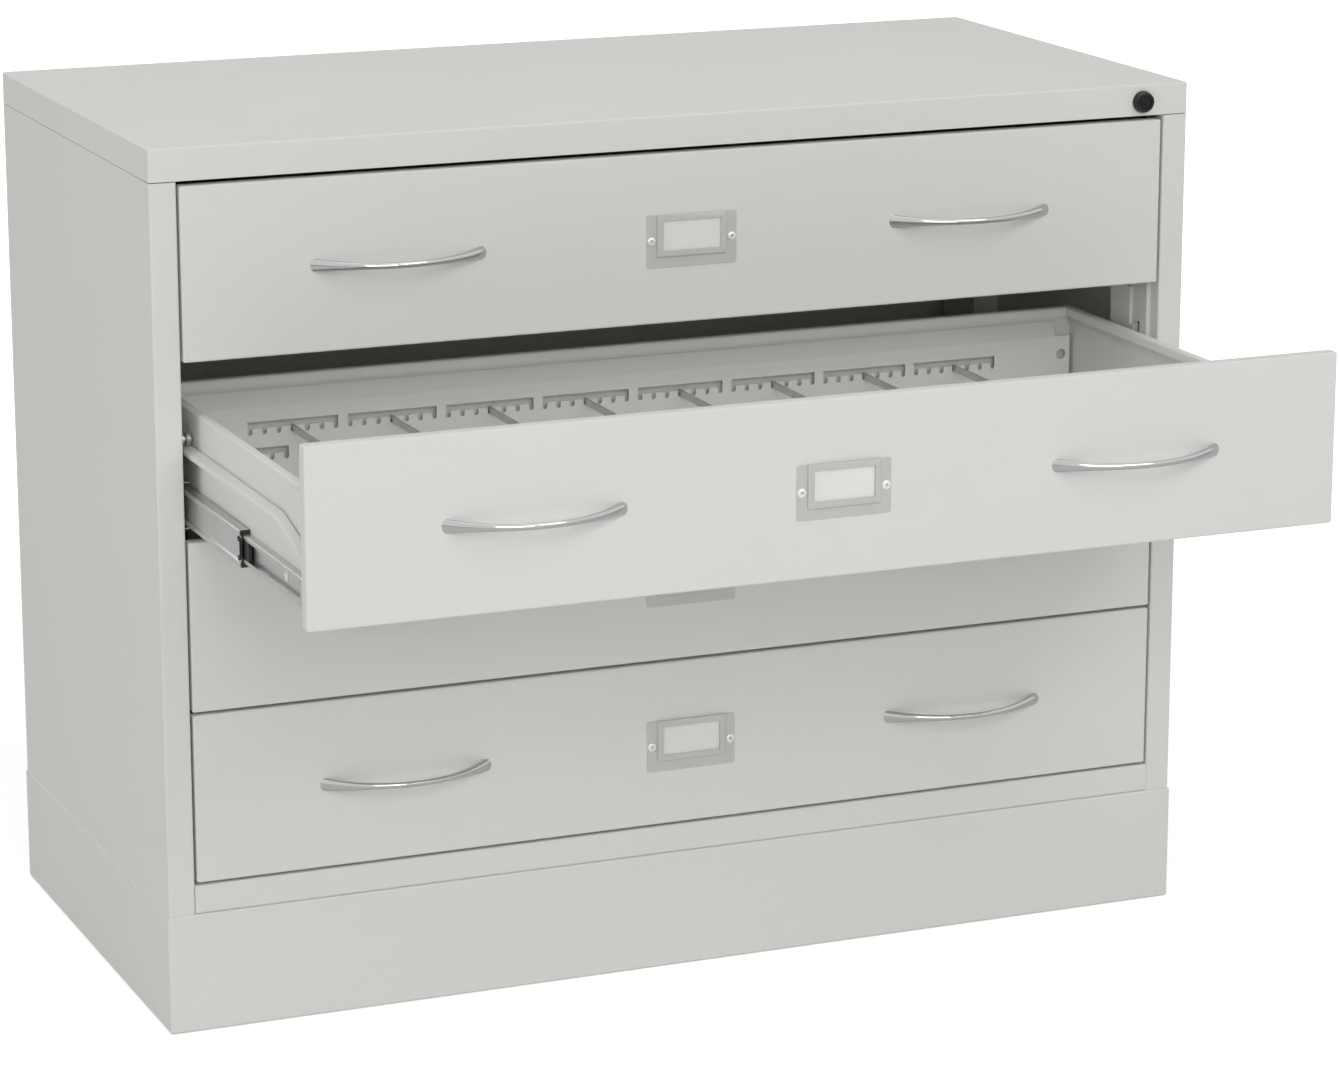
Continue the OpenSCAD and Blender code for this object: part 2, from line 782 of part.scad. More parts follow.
// Divider bar through a notch of each plate, with a hook behind each plate
module divider() {
    low = notch_z + seat;
    far = rear_plate_y + drawer_sheet;
    translate([-divider_t / 2, 0, 0]) along_x(0, divider_t) polygon([
        [front_plate_y - hook_y, low - hook_drop], [front_plate_y - seat, low - hook_drop],
        [front_plate_y - seat, low], [far + seat, low], [far + seat, low - hook_drop],
        [far + hook_y, low - hook_drop], [far + hook_y, low + divider_h],
        [front_plate_y - hook_y, low + divider_h]]);
}

module dividers() {
    color(zinc) for (g = [0 : upper_groups - 1]) {
        translate([(g - (upper_groups - 1) / 2) * group_pitch, 0, 0]) divider();
    }
}

// Handle: a bow whose section widens towards both ends, which lie flat on the front
function bow_t(k) = sin(90 * (2 * k / (handle_rings - 1) - 1) * bow_spread) / sin(90 * bow_spread);
function bow_at(t) = [bow_half * t, -bow_out * (1 - t * t)];
function bow_dir(t) = let (d = [bow_half, 2 * bow_out * t]) d / norm(d);
function bow_point(t, a) = let (
        c = bow_at(t),
        d = bow_dir(t),
        half_t = (handle_mid_t + (handle_end_t - handle_mid_t) * t * t) / 2,
        half_h = (handle_mid_h + (handle_end_h - handle_mid_h) * pow(abs(t), 3)) / 2,
        p = c + half_t * cos(a) * [-d.y, d.x]
    )
    abs(t) > 0.999
        ? [p.x - d.x * p.y / d.y, 0, half_h * sin(a)]
        : [p.x, min(p.y, -handle_end_gap), half_h * sin(a)];

module handle() {
    points = [for (k = [0 : handle_rings - 1]) for (j = [0 : handle_sides - 1])
        bow_point(bow_t(k), 360 * j / handle_sides)];
    skin = [for (k = [0 : handle_rings - 2]) for (j = [0 : handle_sides - 1])
        let (a = k * handle_sides, b = a + handle_sides, n = (j + 1) % handle_sides)
        each [[a + j, b + j, b + n], [a + j, b + n, a + n]]];
    first = [for (j = [0 : handle_sides - 1]) j];
    last = [for (j = [handle_sides - 1 : -1 : 0]) (handle_rings - 1) * handle_sides + j];
    polyhedron(points = points, faces = concat(skin, [first], [last]));
}

module handles() {
    color(chrome) for (side = [-1, 1]) {
        translate([side * handle_x, 0, front_h / 2]) handle();
    }
}

// Label holder with a raised frame that is open at the top
module label_holder() {
    half_f = label_frame_w / 2;
    color(satin) translate([0, 0, label_z]) {
        difference() {
            block([-label_w / 2, -label_t, 0], [label_w / 2, 0, label_h]);
            for (side = [-1, 1]) rod_y(side * (label_w / 2 - rivet_inset), -label_t - cut, label_h / 2,
                                       label_t + 2 * cut, rivet_shank_d + 2 * run);
        }
        difference() {
            block([-half_f, -label_raise, frame_low], [half_f, -label_t / 2, label_h]);
            block([label_t - half_f, label_t - label_raise, frame_low + label_t],
                  [half_f - label_t, cut, label_h + cut]);
            block([label_bar - half_f, -label_raise - cut, frame_low + label_bar],
                  [half_f - label_bar, 0, label_h - label_bar]);
        }
    }
}

module label_card() {
    half_c = label_frame_w / 2 - label_t - seat;
    color(paper) translate([0, 0, label_z]) {
        block([-half_c, -label_t - card_t, frame_low + label_t], [half_c, -label_t, label_h - card_drop]);
    }
}

module rivet() {
    translate([0, -label_t, 0]) rotate([90, 0, 0]) difference() {
        cylinder(h = rivet_h, d1 = rivet_d, d2 = rivet_d - rivet_taper);
        translate([0, 0, rivet_floor]) cylinder(h = rivet_h, d = rivet_bore_d);
    }
    rod_y(0, -label_t - run, 0, label_t + run, rivet_shank_d);
}

// Screw along X with its head outwards at x = 0
module slide_screw() {
    difference() {
        rod_x(-slide_head_t, 0, 0, slide_head_t, slide_screw_d);
        block([-slide_head_t - cut, -cross_w / 2, -cross_h], [cross_d - slide_head_t, cross_w / 2, cross_h]);
        block([-slide_head_t - cut, -cross_h, -cross_w / 2], [cross_d - slide_head_t, cross_h, cross_w / 2]);
    }
    rod_x(-run, 0, 0, run + slide_sheet + drawer_sheet + slide_screw_end, slide_screw_d / 2);
}

module fasteners() {
    color(zinc) {
        for (side = [-1, 1]) {
            translate([side * (label_w / 2 - rivet_inset), 0, label_z + label_h / 2]) rivet();
        }
        for (side = [-1, 1]) for (end = [-1, 1]) {
            translate([side * handle_x + end * handle_half, 0, front_h / 2]) {
                rod_y(0, 0, 0, wall_y + run, handle_screw_d);
                rod_y(0, wall_y, 0, handle_head_t, 2 * handle_screw_d);
            }
        }
        both_sides() for (y = [slide_screw_y, slide_screw_y2]) {
            translate([-box_x - slide_sheet, y, slide_z]) slide_screw();
        }
    }
}

// Drawer member: a channel that opens outwards
module slide_members() {
    color(zinc) both_sides() difference() {
        translate([-box_x, 0, slide_z]) mirror([1, 0, 0])
            along_y(slide_setback + slide_nose, slide_l - slide_nose) channel(slide_inner_h, inner_reach);
        for (y = [slide_screw_y, slide_screw_y2]) {
            rod_x(-box_x - slide_sheet - cut, y, slide_z, slide_sheet + 2 * cut,
                  slide_screw_d / 2 + 2 * hole_gap);
        }
    }
}

module middle_members() {
    color(zinc) both_sides() translate([middle_x - post_x, 0, slide_z])
        along_y(slide_setback, slide_l) channel(slide_middle_h, middle_reach - middle_x);
}

// Ball retainers above and below each middle member, inside and outside, and the plastic front end
module ball_retainers() {
    outer_race = (slide_outer_h - 2 * slide_sheet - slide_middle_h) / 2;
    inner_race = (slide_middle_h - 2 * slide_sheet - slide_inner_h) / 2;
    outer_y = slide_setback + slide_l * retainer_start;
    color(black) translate([0, 0, slide_z]) both_sides() translate([-post_x, 0, 0]) {
        mirrored_up() {
            block([middle_x + outer_retainer_x, outer_y, slide_middle_h / 2 + seat],
                  [slide_t - outer_retainer_end, outer_y + retainer_l,
                   slide_middle_h / 2 + outer_race - seat]);
            block([slide_t - inner_retainer_x, slide_setback, slide_inner_h / 2 + seat],
                  [slide_t - inner_retainer_end, slide_setback + retainer_l,
                   slide_inner_h / 2 + inner_race - seat]);
            block([middle_x, slide_setback - stop_t, slide_inner_h / 2 + seat],
                  [middle_reach + stop_wide, slide_setback, slide_middle_h / 2]);
        }
        block([middle_x + slide_sheet + seat, slide_setback - stop_t, -slide_inner_h / 2 - stop_tall],
              [slide_t - inner_reach - seat, slide_setback + stop_l, slide_inner_h / 2 + stop_tall]);
    }
}

module mirrored_up() {
    children();
    mirror([0, 0, 1]) children();
}

module drawer_part(part) {
    if (part == "front") front();
    if (part == "box") box();
    if (part == "slotted_plates") slotted_plates();
    if (part == "dividers") dividers();
    if (part == "handles") handles();
    if (part == "label_holder") label_holder();
    if (part == "label_card") label_card();
    if (part == "fasteners") fasteners();
    if (part == "slide_members") slide_members();
}

stand() top_panel();
stand() left_side_panel();
stand() right_side_panel();
stand() back_panel();
stand() bottom_panel();
stand() top_rail();
stand() bottom_rail();
stand() plinth_base();
stand() front_posts();
stand() rear_posts();
stand() cabinet_slides();
stand() interlock_rollers();
stand() lock_housing();
stand() lock_core();
stand() lock_bar();
for (i = drawers) {
    for (part = drawer_parts) {
        with_drawer(i) drawer_part(part);
    }
    with_middle(i) middle_members();
    with_middle(i) ball_retainers();
}
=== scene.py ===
"""Looks of a wide steel media cabinet with four drawers, the second one drawn out."""

import logging
import math
from dataclasses import dataclass
from enum import Enum
from typing import Callable, Sequence

import bmesh
import bpy
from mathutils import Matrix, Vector


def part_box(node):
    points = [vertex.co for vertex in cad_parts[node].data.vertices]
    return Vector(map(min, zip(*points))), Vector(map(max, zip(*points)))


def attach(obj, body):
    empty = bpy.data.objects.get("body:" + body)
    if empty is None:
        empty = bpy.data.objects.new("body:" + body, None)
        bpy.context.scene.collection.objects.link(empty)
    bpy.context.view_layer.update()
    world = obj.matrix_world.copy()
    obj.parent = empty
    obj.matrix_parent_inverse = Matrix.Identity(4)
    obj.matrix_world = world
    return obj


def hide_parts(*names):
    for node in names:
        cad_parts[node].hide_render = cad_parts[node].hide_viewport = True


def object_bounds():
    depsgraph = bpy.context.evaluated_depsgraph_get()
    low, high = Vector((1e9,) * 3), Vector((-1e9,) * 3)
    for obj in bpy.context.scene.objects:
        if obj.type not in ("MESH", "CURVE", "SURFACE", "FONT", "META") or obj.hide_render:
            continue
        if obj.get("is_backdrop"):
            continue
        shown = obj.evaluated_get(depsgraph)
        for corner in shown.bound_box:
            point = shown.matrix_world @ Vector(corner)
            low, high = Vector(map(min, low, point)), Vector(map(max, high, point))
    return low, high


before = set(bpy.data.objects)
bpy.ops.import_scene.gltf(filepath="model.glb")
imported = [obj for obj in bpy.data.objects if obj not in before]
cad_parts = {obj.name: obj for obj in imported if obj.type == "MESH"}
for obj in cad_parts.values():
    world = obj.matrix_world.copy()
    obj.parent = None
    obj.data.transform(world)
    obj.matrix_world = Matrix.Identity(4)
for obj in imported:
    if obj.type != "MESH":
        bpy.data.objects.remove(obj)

MM = 0.001
DRAWERS = (1, 2, 3, 4)
# Places that are nearer to each other than this are the same.
CLOSE = 1e-6
# Share of a unit direction on an axis from which it runs along it, and from which it mostly does.
ALIGNED = 0.9
MOSTLY = 0.5
# Middle of the right-hand handle, and the outer face of the drawer's box.
HANDLE_X = 295.0 * MM
BOX_HALF = 491.0 * MM
# Height of the slides' middle above a front's lower edge.
SLIDE_Z = 26.3 * MM
log = logging.getLogger("cabinet")
Test = Callable[[Vector, Vector], bool]
Point = Sequence[float]


class Slot(Enum):
    """Material slots of the part's record."""

    PAINT = "paint"
    ZINC = "zinc"
    CHROME = "chrome"
    SATIN = "satin"
    BLACK_METAL = "black_metal"
    BLACK_PLASTIC = "black_plastic"
    CARD = "card"


class Along(Enum):
    """Direction in which a folded strip runs, with the two axes of its section."""

    X = (0, 1, 2)
    Y = (1, 0, 2)
    Z = (2, 0, 1)


class Bench:
    """Modelling steps that the sub-assemblies share."""

    @staticmethod
    def clear() -> None:
        """Leaves edit mode and deselects everything."""
        if bpy.context.mode != "OBJECT":
            bpy.ops.object.mode_set(mode="OBJECT")
        bpy.ops.object.select_all(action="DESELECT")

    @staticmethod
    def focus(obj: bpy.types.Object) -> None:
        """Makes one object the only selected and active one."""
        Bench.clear()
        obj.select_set(True)
        bpy.context.view_layer.objects.active = obj

    @staticmethod
    def named(name: str) -> bpy.types.Object:
        """Names the active object and its mesh.

        Args:
            name: The new name.

        Returns:
            The active object.
        """
        obj = bpy.context.object
        obj.name = name
        obj.data.name = name
        return obj

    @staticmethod
    def block(name: str, low: Point, high: Point) -> bpy.types.Object:
        """Adds a block between two corners, its object at the origin.

        Args:
            name: Name of the new object.
            low: Lowest corner.
            high: Highest corner.

        Returns:
            The new object.
        """
        low, high = Vector(low), Vector(high)
        Bench.clear()
        bpy.ops.mesh.primitive_cube_add(size=1.0, location=(0, 0, 0))
        obj = Bench.named(name)
        bpy.ops.object.mode_set(mode="EDIT")
        bpy.ops.mesh.select_all(action="SELECT")
        bpy.ops.transform.resize(value=high - low, center_override=(0, 0, 0))
        bpy.ops.transform.translate(value=(low + high) / 2)
        bpy.ops.object.mode_set(mode="OBJECT")
        return obj

    @staticmethod
    def pick_faces(obj: bpy.types.Object, test: Test) -> int:
        """Enters edit mode and selects the faces that pass a test.

        Args:
            obj: Object to edit.
            test: Takes a face's centre and normal.

        Returns:
            How many faces are selected.
        """
        Bench.focus(obj)
        bpy.ops.object.mode_set(mode="EDIT")
        bpy.ops.mesh.select_mode(type="FACE")
        bpy.ops.mesh.select_all(action="DESELECT")
        mesh = bmesh.from_edit_mesh(obj.data)
        mesh.normal_update()
        count = 0
        for face in mesh.faces:
            if test(face.calc_center_median(), face.normal):
                face.select_set(True)
                count += 1
        bmesh.update_edit_mesh(obj.data)
        return count

    @staticmethod
    def pick_edges(obj: bpy.types.Object, test: Test) -> int:
        """Enters edit mode and selects the edges that pass a test.

        Args:
            obj: Object to edit.
            test: Takes an edge's middle and its unit direction.

        Returns:
            How many edges are selected.
        """
        Bench.focus(obj)
        bpy.ops.object.mode_set(mode="EDIT")
        bpy.ops.mesh.select_mode(type="EDGE")
        bpy.ops.mesh.select_all(action="DESELECT")
        mesh = bmesh.from_edit_mesh(obj.data)
        count = 0
        for edge in mesh.edges:
            a, b = (v.co for v in edge.verts)
            if test((a + b) / 2, (b - a).normalized()):
                edge.select_set(True)
                count += 1
        bmesh.update_edit_mesh(obj.data)
        return count

    @staticmethod
    def done() -> None:
        """Goes back to object mode."""
        bpy.ops.object.mode_set(mode="OBJECT")

    @staticmethod
    def drop_faces(obj: bpy.types.Object, test: Test) -> None:
        """Deletes the faces that pass a test.

        Args:
            obj: Object to edit.
            test: Takes a face's centre and normal.
        """
        Bench.pick_faces(obj, test)
        bpy.ops.mesh.delete(type="FACE")
        Bench.done()

    @staticmethod
    def round_edges(obj: bpy.types.Object, test: Test, radius: float, steps: int = 4) -> None:
        """Rounds the edges that pass a test.

        Args:
            obj: Object to edit.
            test: Takes an edge's middle and direction.
            radius: Radius of the rounding.
            steps: Number of faces across it.
        """
        if Bench.pick_edges(obj, test):
            bpy.ops.mesh.bevel(offset=radius, segments=steps, profile=0.5, affect="EDGES", clamp_overlap=True)
        Bench.done()

    @staticmethod
    def apply(obj: bpy.types.Object, kind: str, **values: object) -> None:
        """Adds a modifier and applies it.

        Args:
            obj: Object to change.
            kind: Type of the modifier.
            values: Its settings by name.
        """
        Bench.focus(obj)
        mod = obj.modifiers.new(kind.title(), kind)
        for key, value in values.items():
            setattr(mod, key, value)
        bpy.ops.object.modifier_apply(modifier=mod.name)

    @staticmethod
    def thicken(obj: bpy.types.Object, thickness: float) -> None:
        """Gives a skin its sheet thickness, inwards from its face."""
        Bench.apply(obj, "SOLIDIFY", thickness=thickness, offset=-1.0, use_even_offset=True)

    @staticmethod
    def mirror(obj: bpy.types.Object) -> None:
        """Adds the same shape on the other side of the middle plane."""
        Bench.apply(obj, "MIRROR", use_axis=(True, False, False), use_mirror_merge=False)

    @staticmethod
    def outward(obj: bpy.types.Object) -> None:
        """Turns the faces of a closed shell outwards."""
        Bench.focus(obj)
        bpy.ops.object.mode_set(mode="EDIT")
        bpy.ops.mesh.select_all(action="SELECT")
        bpy.ops.mesh.normals_make_consistent(inside=False)
        Bench.done()

    @staticmethod
    def smooth(obj: bpy.types.Object, angle: float = 40.0) -> bpy.types.Object:
        """Shades an object smooth.

        Args:
            obj: Object to shade.
            angle: Largest angle between faces, in degrees, that is shaded smooth.

        Returns:
            The object.
        """
        Bench.focus(obj)
        bpy.ops.object.shade_smooth_by_angle(angle=math.radians(angle))
        return obj

    @staticmethod
    def join(name: str, parts: Sequence[bpy.types.Object]) -> bpy.types.Object:
        """Joins parts into one object.

        Args:
            name: Name of the whole.
            parts: What is joined.

        Returns:
            The whole.
        """
        Bench.clear()
        for part in parts:
            part.select_set(True)
        bpy.context.view_layer.objects.active = parts[0]
        bpy.ops.object.join()
        return Bench.named(name)

    @staticmethod
    def copy(obj: bpy.types.Object, name: str, shift: Point) -> bpy.types.Object:
        """Copies an object with its own mesh, moved in its mesh.

        Args:
            obj: Object to copy.
            name: Name of the copy.
            shift: How far the copy's mesh is moved.

        Returns:
            The copy.
        """
        Bench.focus(obj)
        bpy.ops.object.duplicate(linked=False)
        new = Bench.named(name)
        bpy.ops.object.mode_set(mode="EDIT")
        bpy.ops.mesh.select_all(action="SELECT")
        bpy.ops.transform.translate(value=shift)
        Bench.done()
        return new

    @staticmethod
    def strip(
        name: str,
        along: Along,
        start: float,
        end: float,
        outline: Sequence[tuple[float, float]],
        outside: Point,
        fold: float,
        sheet: float,
        steps: int = 4,
        tight: Sequence[int] = (),
    ) -> bpy.types.Object:
        """Folds a strip of sheet: its first leg is laid flat, and each further leg is drawn from its edge.

        Args:
            name: Name of the new object.
            along: Direction in which the folds run.
            start: Where the strip begins along it.
            end: Where it ends.
            outline: Outer face of the section, corner by corner.
            outside: Direction that the first leg faces.
            fold: Outer radius of the folds.
            sheet: Thickness of the sheet.
            steps: Faces across a fold.
            tight: Numbers of the corners whose radius is a third of the fold.

        Returns:
            The folded strip.
        """
        run, u, v = along.value

        def place(corner: tuple[float, float], at: float) -> Vector:
            """Point of the section at a place along the run."""
            point = Vector((0, 0, 0))
            point[run], point[u], point[v] = at, corner[0], corner[1]
            return point

        Bench.clear()
        bpy.ops.mesh.primitive_plane_add(size=1.0, location=(0, 0, 0))
        obj = Bench.named(name)
        bpy.ops.object.mode_set(mode="EDIT")
        mesh = bmesh.from_edit_mesh(obj.data)
        for vert in mesh.verts:
            corner = outline[0] if vert.co.x < 0 else outline[1]
            vert.co = place(corner, start if vert.co.y < 0 else end)
        mesh.normal_update()
        if list(mesh.faces)[0].normal.dot(Vector(outside)) < 0:
            bmesh.ops.reverse_faces(mesh, faces=mesh.faces)
        bmesh.update_edit_mesh(obj.data)
        middles = [place(corner, (start + end) / 2) for corner in outline]

        def is_lengthwise(c: Vector, d: Vector, spots: Sequence[Vector]) -> bool:
            """Edges that run lengthwise through one of some spots."""
            return abs(d[run]) > ALIGNED and any((c - spot).length < CLOSE for spot in spots)

        Bench.pick_edges(obj, lambda c, d: is_lengthwise(c, d, middles[1:2]))
        for before, after in zip(outline[1:], outline[2:]):
            bpy.ops.mesh.extrude_region_move(
                TRANSFORM_OT_translate={"value": place(after, start) - place(before, start)}
            )
        Bench.done()
        for radius, wanted in ((fold, False), (fold / 3, True)):
            corners = [m for k, m in enumerate(middles[1:-1], 1) if (k in tight) == wanted]
            Bench.round_edges(obj, lambda c, d: is_lengthwise(c, d, corners), radius, steps)
        Bench.thicken(obj, sheet)
        Bench.outward(obj)
        return Bench.smooth(obj)

    @staticmethod
    def turned(
        name: str, base: Point, axis: Point, stations: Sequence[tuple[float, float]], sides: int = 32
    ) -> bpy.types.Object:
        """Turns a round part: a disc is drawn out along its axis and scaled at each station.

        Args:
            name: Name of the new object.
            base: Point from which the stations are measured.
            axis: Direction of the axis.
            stations: Distance along the axis and radius of each ring.
            sides: Number of faces round it.

        Returns:
            The turned part.
        """
        base, axis = Vector(base), Vector(axis).normalized()
        at, radius = stations[0]
        Bench.clear()
        bpy.ops.mesh.primitive_circle_add(
            vertices=sides, radius=1.0, fill_type="NGON", location=(0, 0, 0)
        )
        obj = Bench.named(name)
        bpy.ops.object.mode_set(mode="EDIT")
        bpy.ops.mesh.select_mode(type="FACE")
        bpy.ops.mesh.select_all(action="SELECT")
        mesh = bmesh.from_edit_mesh(obj.data)
        turn = Vector((0, 0, 1)).rotation_difference(axis)
        for vert in mesh.verts:
            vert.co = base + axis * at + turn @ (vert.co * radius)
        bmesh.update_edit_mesh(obj.data)
        for new_at, new_radius in stations[1:]:
            bpy.ops.mesh.extrude_region_move(TRANSFORM_OT_translate={"value": axis * (new_at - at)})
            if abs(new_radius - radius) > CLOSE:
                ratio = new_radius / radius
                bpy.ops.transform.resize(value=(ratio, ratio, ratio), center_override=base + axis * new_at)
            at, radius = new_at, new_radius
        Bench.done()
        Bench.outward(obj)
        return Bench.smooth(obj, 35.0)

    @staticmethod
    def cut(obj: bpy.types.Object, tool: bpy.types.Object) -> None:
        """Cuts a tool's shape out of an object and removes the tool."""
        Bench.apply(obj, "BOOLEAN", operation="DIFFERENCE", object=tool, solver="EXACT")
        bpy.data.objects.remove(tool)


class Groups:
    """Shader node groups for the effects that several finishes share."""

    built: dict[str, bpy.types.NodeTree] = {}

    @staticmethod
    def start(
        name: str, inputs: Sequence[tuple[str, str, float]], outputs: Sequence[tuple[str, str]]
    ) -> tuple[bpy.types.NodeTree, bpy.types.Node, bpy.types.Node]:
        """Makes an empty group with its sockets.

        Args:
            name: Name of the group.
            inputs: Name, socket type and default of each input.
            outputs: Name and socket type of each output.

        Returns:
            The tree, its input node and its output node.
        """
        tree = bpy.data.node_groups.new(name, "ShaderNodeTree")
        for label, kind, value in inputs:
            socket = tree.interface.new_socket(label, in_out="INPUT", socket_type=kind)
            if kind == "NodeSocketFloat":
                socket.default_value = value
        for label, kind in outputs:
            tree.interface.new_socket(label, in_out="OUTPUT", socket_type=kind)
        return tree, tree.nodes.new("NodeGroupInput"), tree.nodes.new("NodeGroupOutput")

    @classmethod
    def peel(cls) -> bpy.types.NodeTree:
        """Fine waviness of a sprayed or moulded skin, with a broad cloudiness."""
        if "peel" not in cls.built:
            tree, given, out = cls.start(
                "Skin texture",
                [
                    ("Vector", "NodeSocketVector", 0),
                    ("Grain", "NodeSocketFloat", 700),
                    ("Cloud", "NodeSocketFloat", 6),
                ],
                [("Height", "NodeSocketFloat"), ("Cloud", "NodeSocketFloat")],
            )
            fine = tree.nodes.new("ShaderNodeTexNoise")
            fine.inputs["Detail"].default_value = 2.0
            soft = tree.nodes.new("ShaderNodeTexNoise")
            soft.inputs["Detail"].default_value = 5.0
            soft.inputs["Roughness"].default_value = 0.6
            tree.links.new(given.outputs["Vector"], fine.inputs["Vector"])
            tree.links.new(given.outputs["Vector"], soft.inputs["Vector"])
            tree.links.new(given.outputs["Grain"], fine.inputs["Scale"])
            tree.links.new(given.outputs["Cloud"], soft.inputs["Scale"])
            tree.links.new(fine.outputs["Fac"], out.inputs["Height"])
            tree.links.new(soft.outputs["Fac"], out.inputs["Cloud"])
            cls.built["peel"] = tree
        return cls.built["peel"]

    @classmethod
    def drawn(cls) -> bpy.types.NodeTree:
        """Lines left by rolling or brushing, stretched along one axis."""
        if "drawn" not in cls.built:
            tree, given, out = cls.start(
                "Drawn lines",
                [
                    ("Vector", "NodeSocketVector", 0),
                    ("Across", "NodeSocketFloat", 900),
                    ("Lengthwise", "NodeSocketFloat", 8),
                ],
                [("Lines", "NodeSocketFloat"), ("Cloud", "NodeSocketFloat")],
            )
            scale = tree.nodes.new("ShaderNodeVectorMath")
            scale.operation = "MULTIPLY"
            packed = tree.nodes.new("ShaderNodeCombineXYZ")
            fine = tree.nodes.new("ShaderNodeTexNoise")
            fine.inputs["Scale"].default_value = 1.0
            fine.inputs["Detail"].default_value = 4.0
            soft = tree.nodes.new("ShaderNodeTexNoise")
            soft.inputs["Scale"].default_value = 35.0
            soft.inputs["Detail"].default_value = 3.0
            tree.links.new(given.outputs["Across"], packed.inputs["X"])
            tree.links.new(given.outputs["Lengthwise"], packed.inputs["Y"])
            tree.links.new(given.outputs["Across"], packed.inputs["Z"])
            tree.links.new(given.outputs["Vector"], scale.inputs[0])
            tree.links.new(packed.outputs["Vector"], scale.inputs[1])
            tree.links.new(scale.outputs["Vector"], fine.inputs["Vector"])
            tree.links.new(given.outputs["Vector"], soft.inputs["Vector"])
            tree.links.new(fine.outputs["Fac"], out.inputs["Lines"])
            tree.links.new(soft.outputs["Fac"], out.inputs["Cloud"])
            cls.built["drawn"] = tree
        return cls.built["drawn"]


@dataclass(frozen=True)
class Finish:
    """A finish made from two tones, a roughness range and a fine relief."""

    name: str
    slot: Slot
    tone_a: tuple[float, float, float]
    tone_b: tuple[float, float, float]
    rough_low: float
    rough_high: float
    metallic: float = 0.0
    grain: float = 700.0
    cloud: float = 6.0
    relief: float = 0.1
    depth: float = 0.0002
    coat: float = 0.0
    sheen_level: float = 0.5
    drawn: bool = False
    coat_rough: float = 0.15
    noise_low: float = 0.3
    noise_high: float = 0.7

    def material(self) -> bpy.types.Material:
        """Builds the material once.

        Returns:
            The material, new or as built before.
        """
        found = bpy.data.materials.get(self.name)
        if found:
            return found
        mat = bpy.data.materials.new(self.name)
        mat.use_nodes = True
        tree = mat.node_tree
        shader = tree.nodes["Principled BSDF"]
        shader.inputs["Metallic"].default_value = self.metallic
        shader.inputs["Coat Weight"].default_value = self.coat
        shader.inputs["Specular IOR Level"].default_value = self.sheen_level
        shader.inputs["Coat Roughness"].default_value = self.coat_rough
        place = tree.nodes.new("ShaderNodeTexCoord")
        effect = tree.nodes.new("ShaderNodeGroup")
        effect.node_tree = Groups.drawn() if self.drawn else Groups.peel()
        tree.links.new(place.outputs["Object"], effect.inputs["Vector"])
        if self.drawn:
            effect.inputs["Across"].default_value = self.grain
            effect.inputs["Lengthwise"].default_value = self.cloud
            height = effect.outputs["Lines"]
        else:
            effect.inputs["Grain"].default_value = self.grain
            effect.inputs["Cloud"].default_value = self.cloud
            height = effect.outputs["Height"]
        tones = tree.nodes.new("ShaderNodeMix")
        tones.data_type = "RGBA"
        tones.inputs["A"].default_value = (*self.tone_a, 1.0)
        tones.inputs["B"].default_value = (*self.tone_b, 1.0)
        tree.links.new(effect.outputs["Cloud"], tones.inputs["Factor"])
        tree.links.new(tones.outputs["Result"], shader.inputs["Base Color"])
        rough = tree.nodes.new("ShaderNodeMapRange")
        rough.inputs["From Min"].default_value = self.noise_low
        rough.inputs["From Max"].default_value = self.noise_high
        rough.inputs["To Min"].default_value = self.rough_low
        rough.inputs["To Max"].default_value = self.rough_high
        tree.links.new(height if self.drawn else effect.outputs["Cloud"], rough.inputs["Value"])
        tree.links.new(rough.outputs["Result"], shader.inputs["Roughness"])
        bump = tree.nodes.new("ShaderNodeBump")
        bump.inputs["Strength"].default_value = self.relief
        bump.inputs["Distance"].default_value = self.depth
        tree.links.new(height, bump.inputs["Height"])
        tree.links.new(bump.outputs["Normal"], shader.inputs["Normal"])
        return mat


POWDER = Finish(
    "Light grey powder coat", Slot.PAINT, (0.745, 0.748, 0.715), (0.77, 0.773, 0.74), 0.46, 0.56,
    grain=650.0, cloud=5.0, relief=0.12, sheen_level=0.3,
)
INNER_POWDER = Finish(
    "Light grey powder coat inside", Slot.PAINT, (0.73, 0.732, 0.70), (0.77, 0.772, 0.74), 0.42, 0.55,
    grain=650.0, cloud=8.0, relief=0.15, sheen_level=0.3,
)
# Powder coat of the drawer's box and slotted plates. It is painted lighter than the cabinet's coat, which is
# painted light that brightens the shaded inside of the drawer.
DRAWER_POWDER_PAINTED_LIGHT = Finish(
    "Light grey powder coat on the drawer", Slot.PAINT, (0.78, 0.783, 0.75), (0.81, 0.813, 0.78), 0.38, 0.5,
    grain=650.0, cloud=7.0, relief=0.12, sheen_level=0.3,
)
ZINC = Finish(
    "Bright zinc plating", Slot.ZINC, (0.52, 0.53, 0.52), (0.66, 0.67, 0.65), 0.28, 0.45,
    metallic=0.9, grain=700.0, cloud=9.0, relief=0.2, depth=0.0001, drawn=True,
)
NICKEL = Finish(
    "Bright nickel plating", Slot.ZINC, (0.86, 0.86, 0.84), (0.92, 0.92, 0.90), 0.22, 0.36,
    metallic=0.35, grain=1500.0, cloud=60.0, relief=0.05, depth=0.0001,
)
CHROME = Finish(
    "Polished chrome", Slot.CHROME, (0.50, 0.505, 0.51), (0.56, 0.565, 0.57), 0.05, 0.12,
    metallic=1.0, grain=120.0, cloud=30.0, relief=0.02, depth=0.0002,
)
SATIN = Finish(
    "Satin grey metal", Slot.SATIN, (0.54, 0.545, 0.52), (0.60, 0.605, 0.58), 0.42, 0.6,
    metallic=0.35, grain=900.0, cloud=30.0, relief=0.15, depth=0.0001, drawn=True,
)
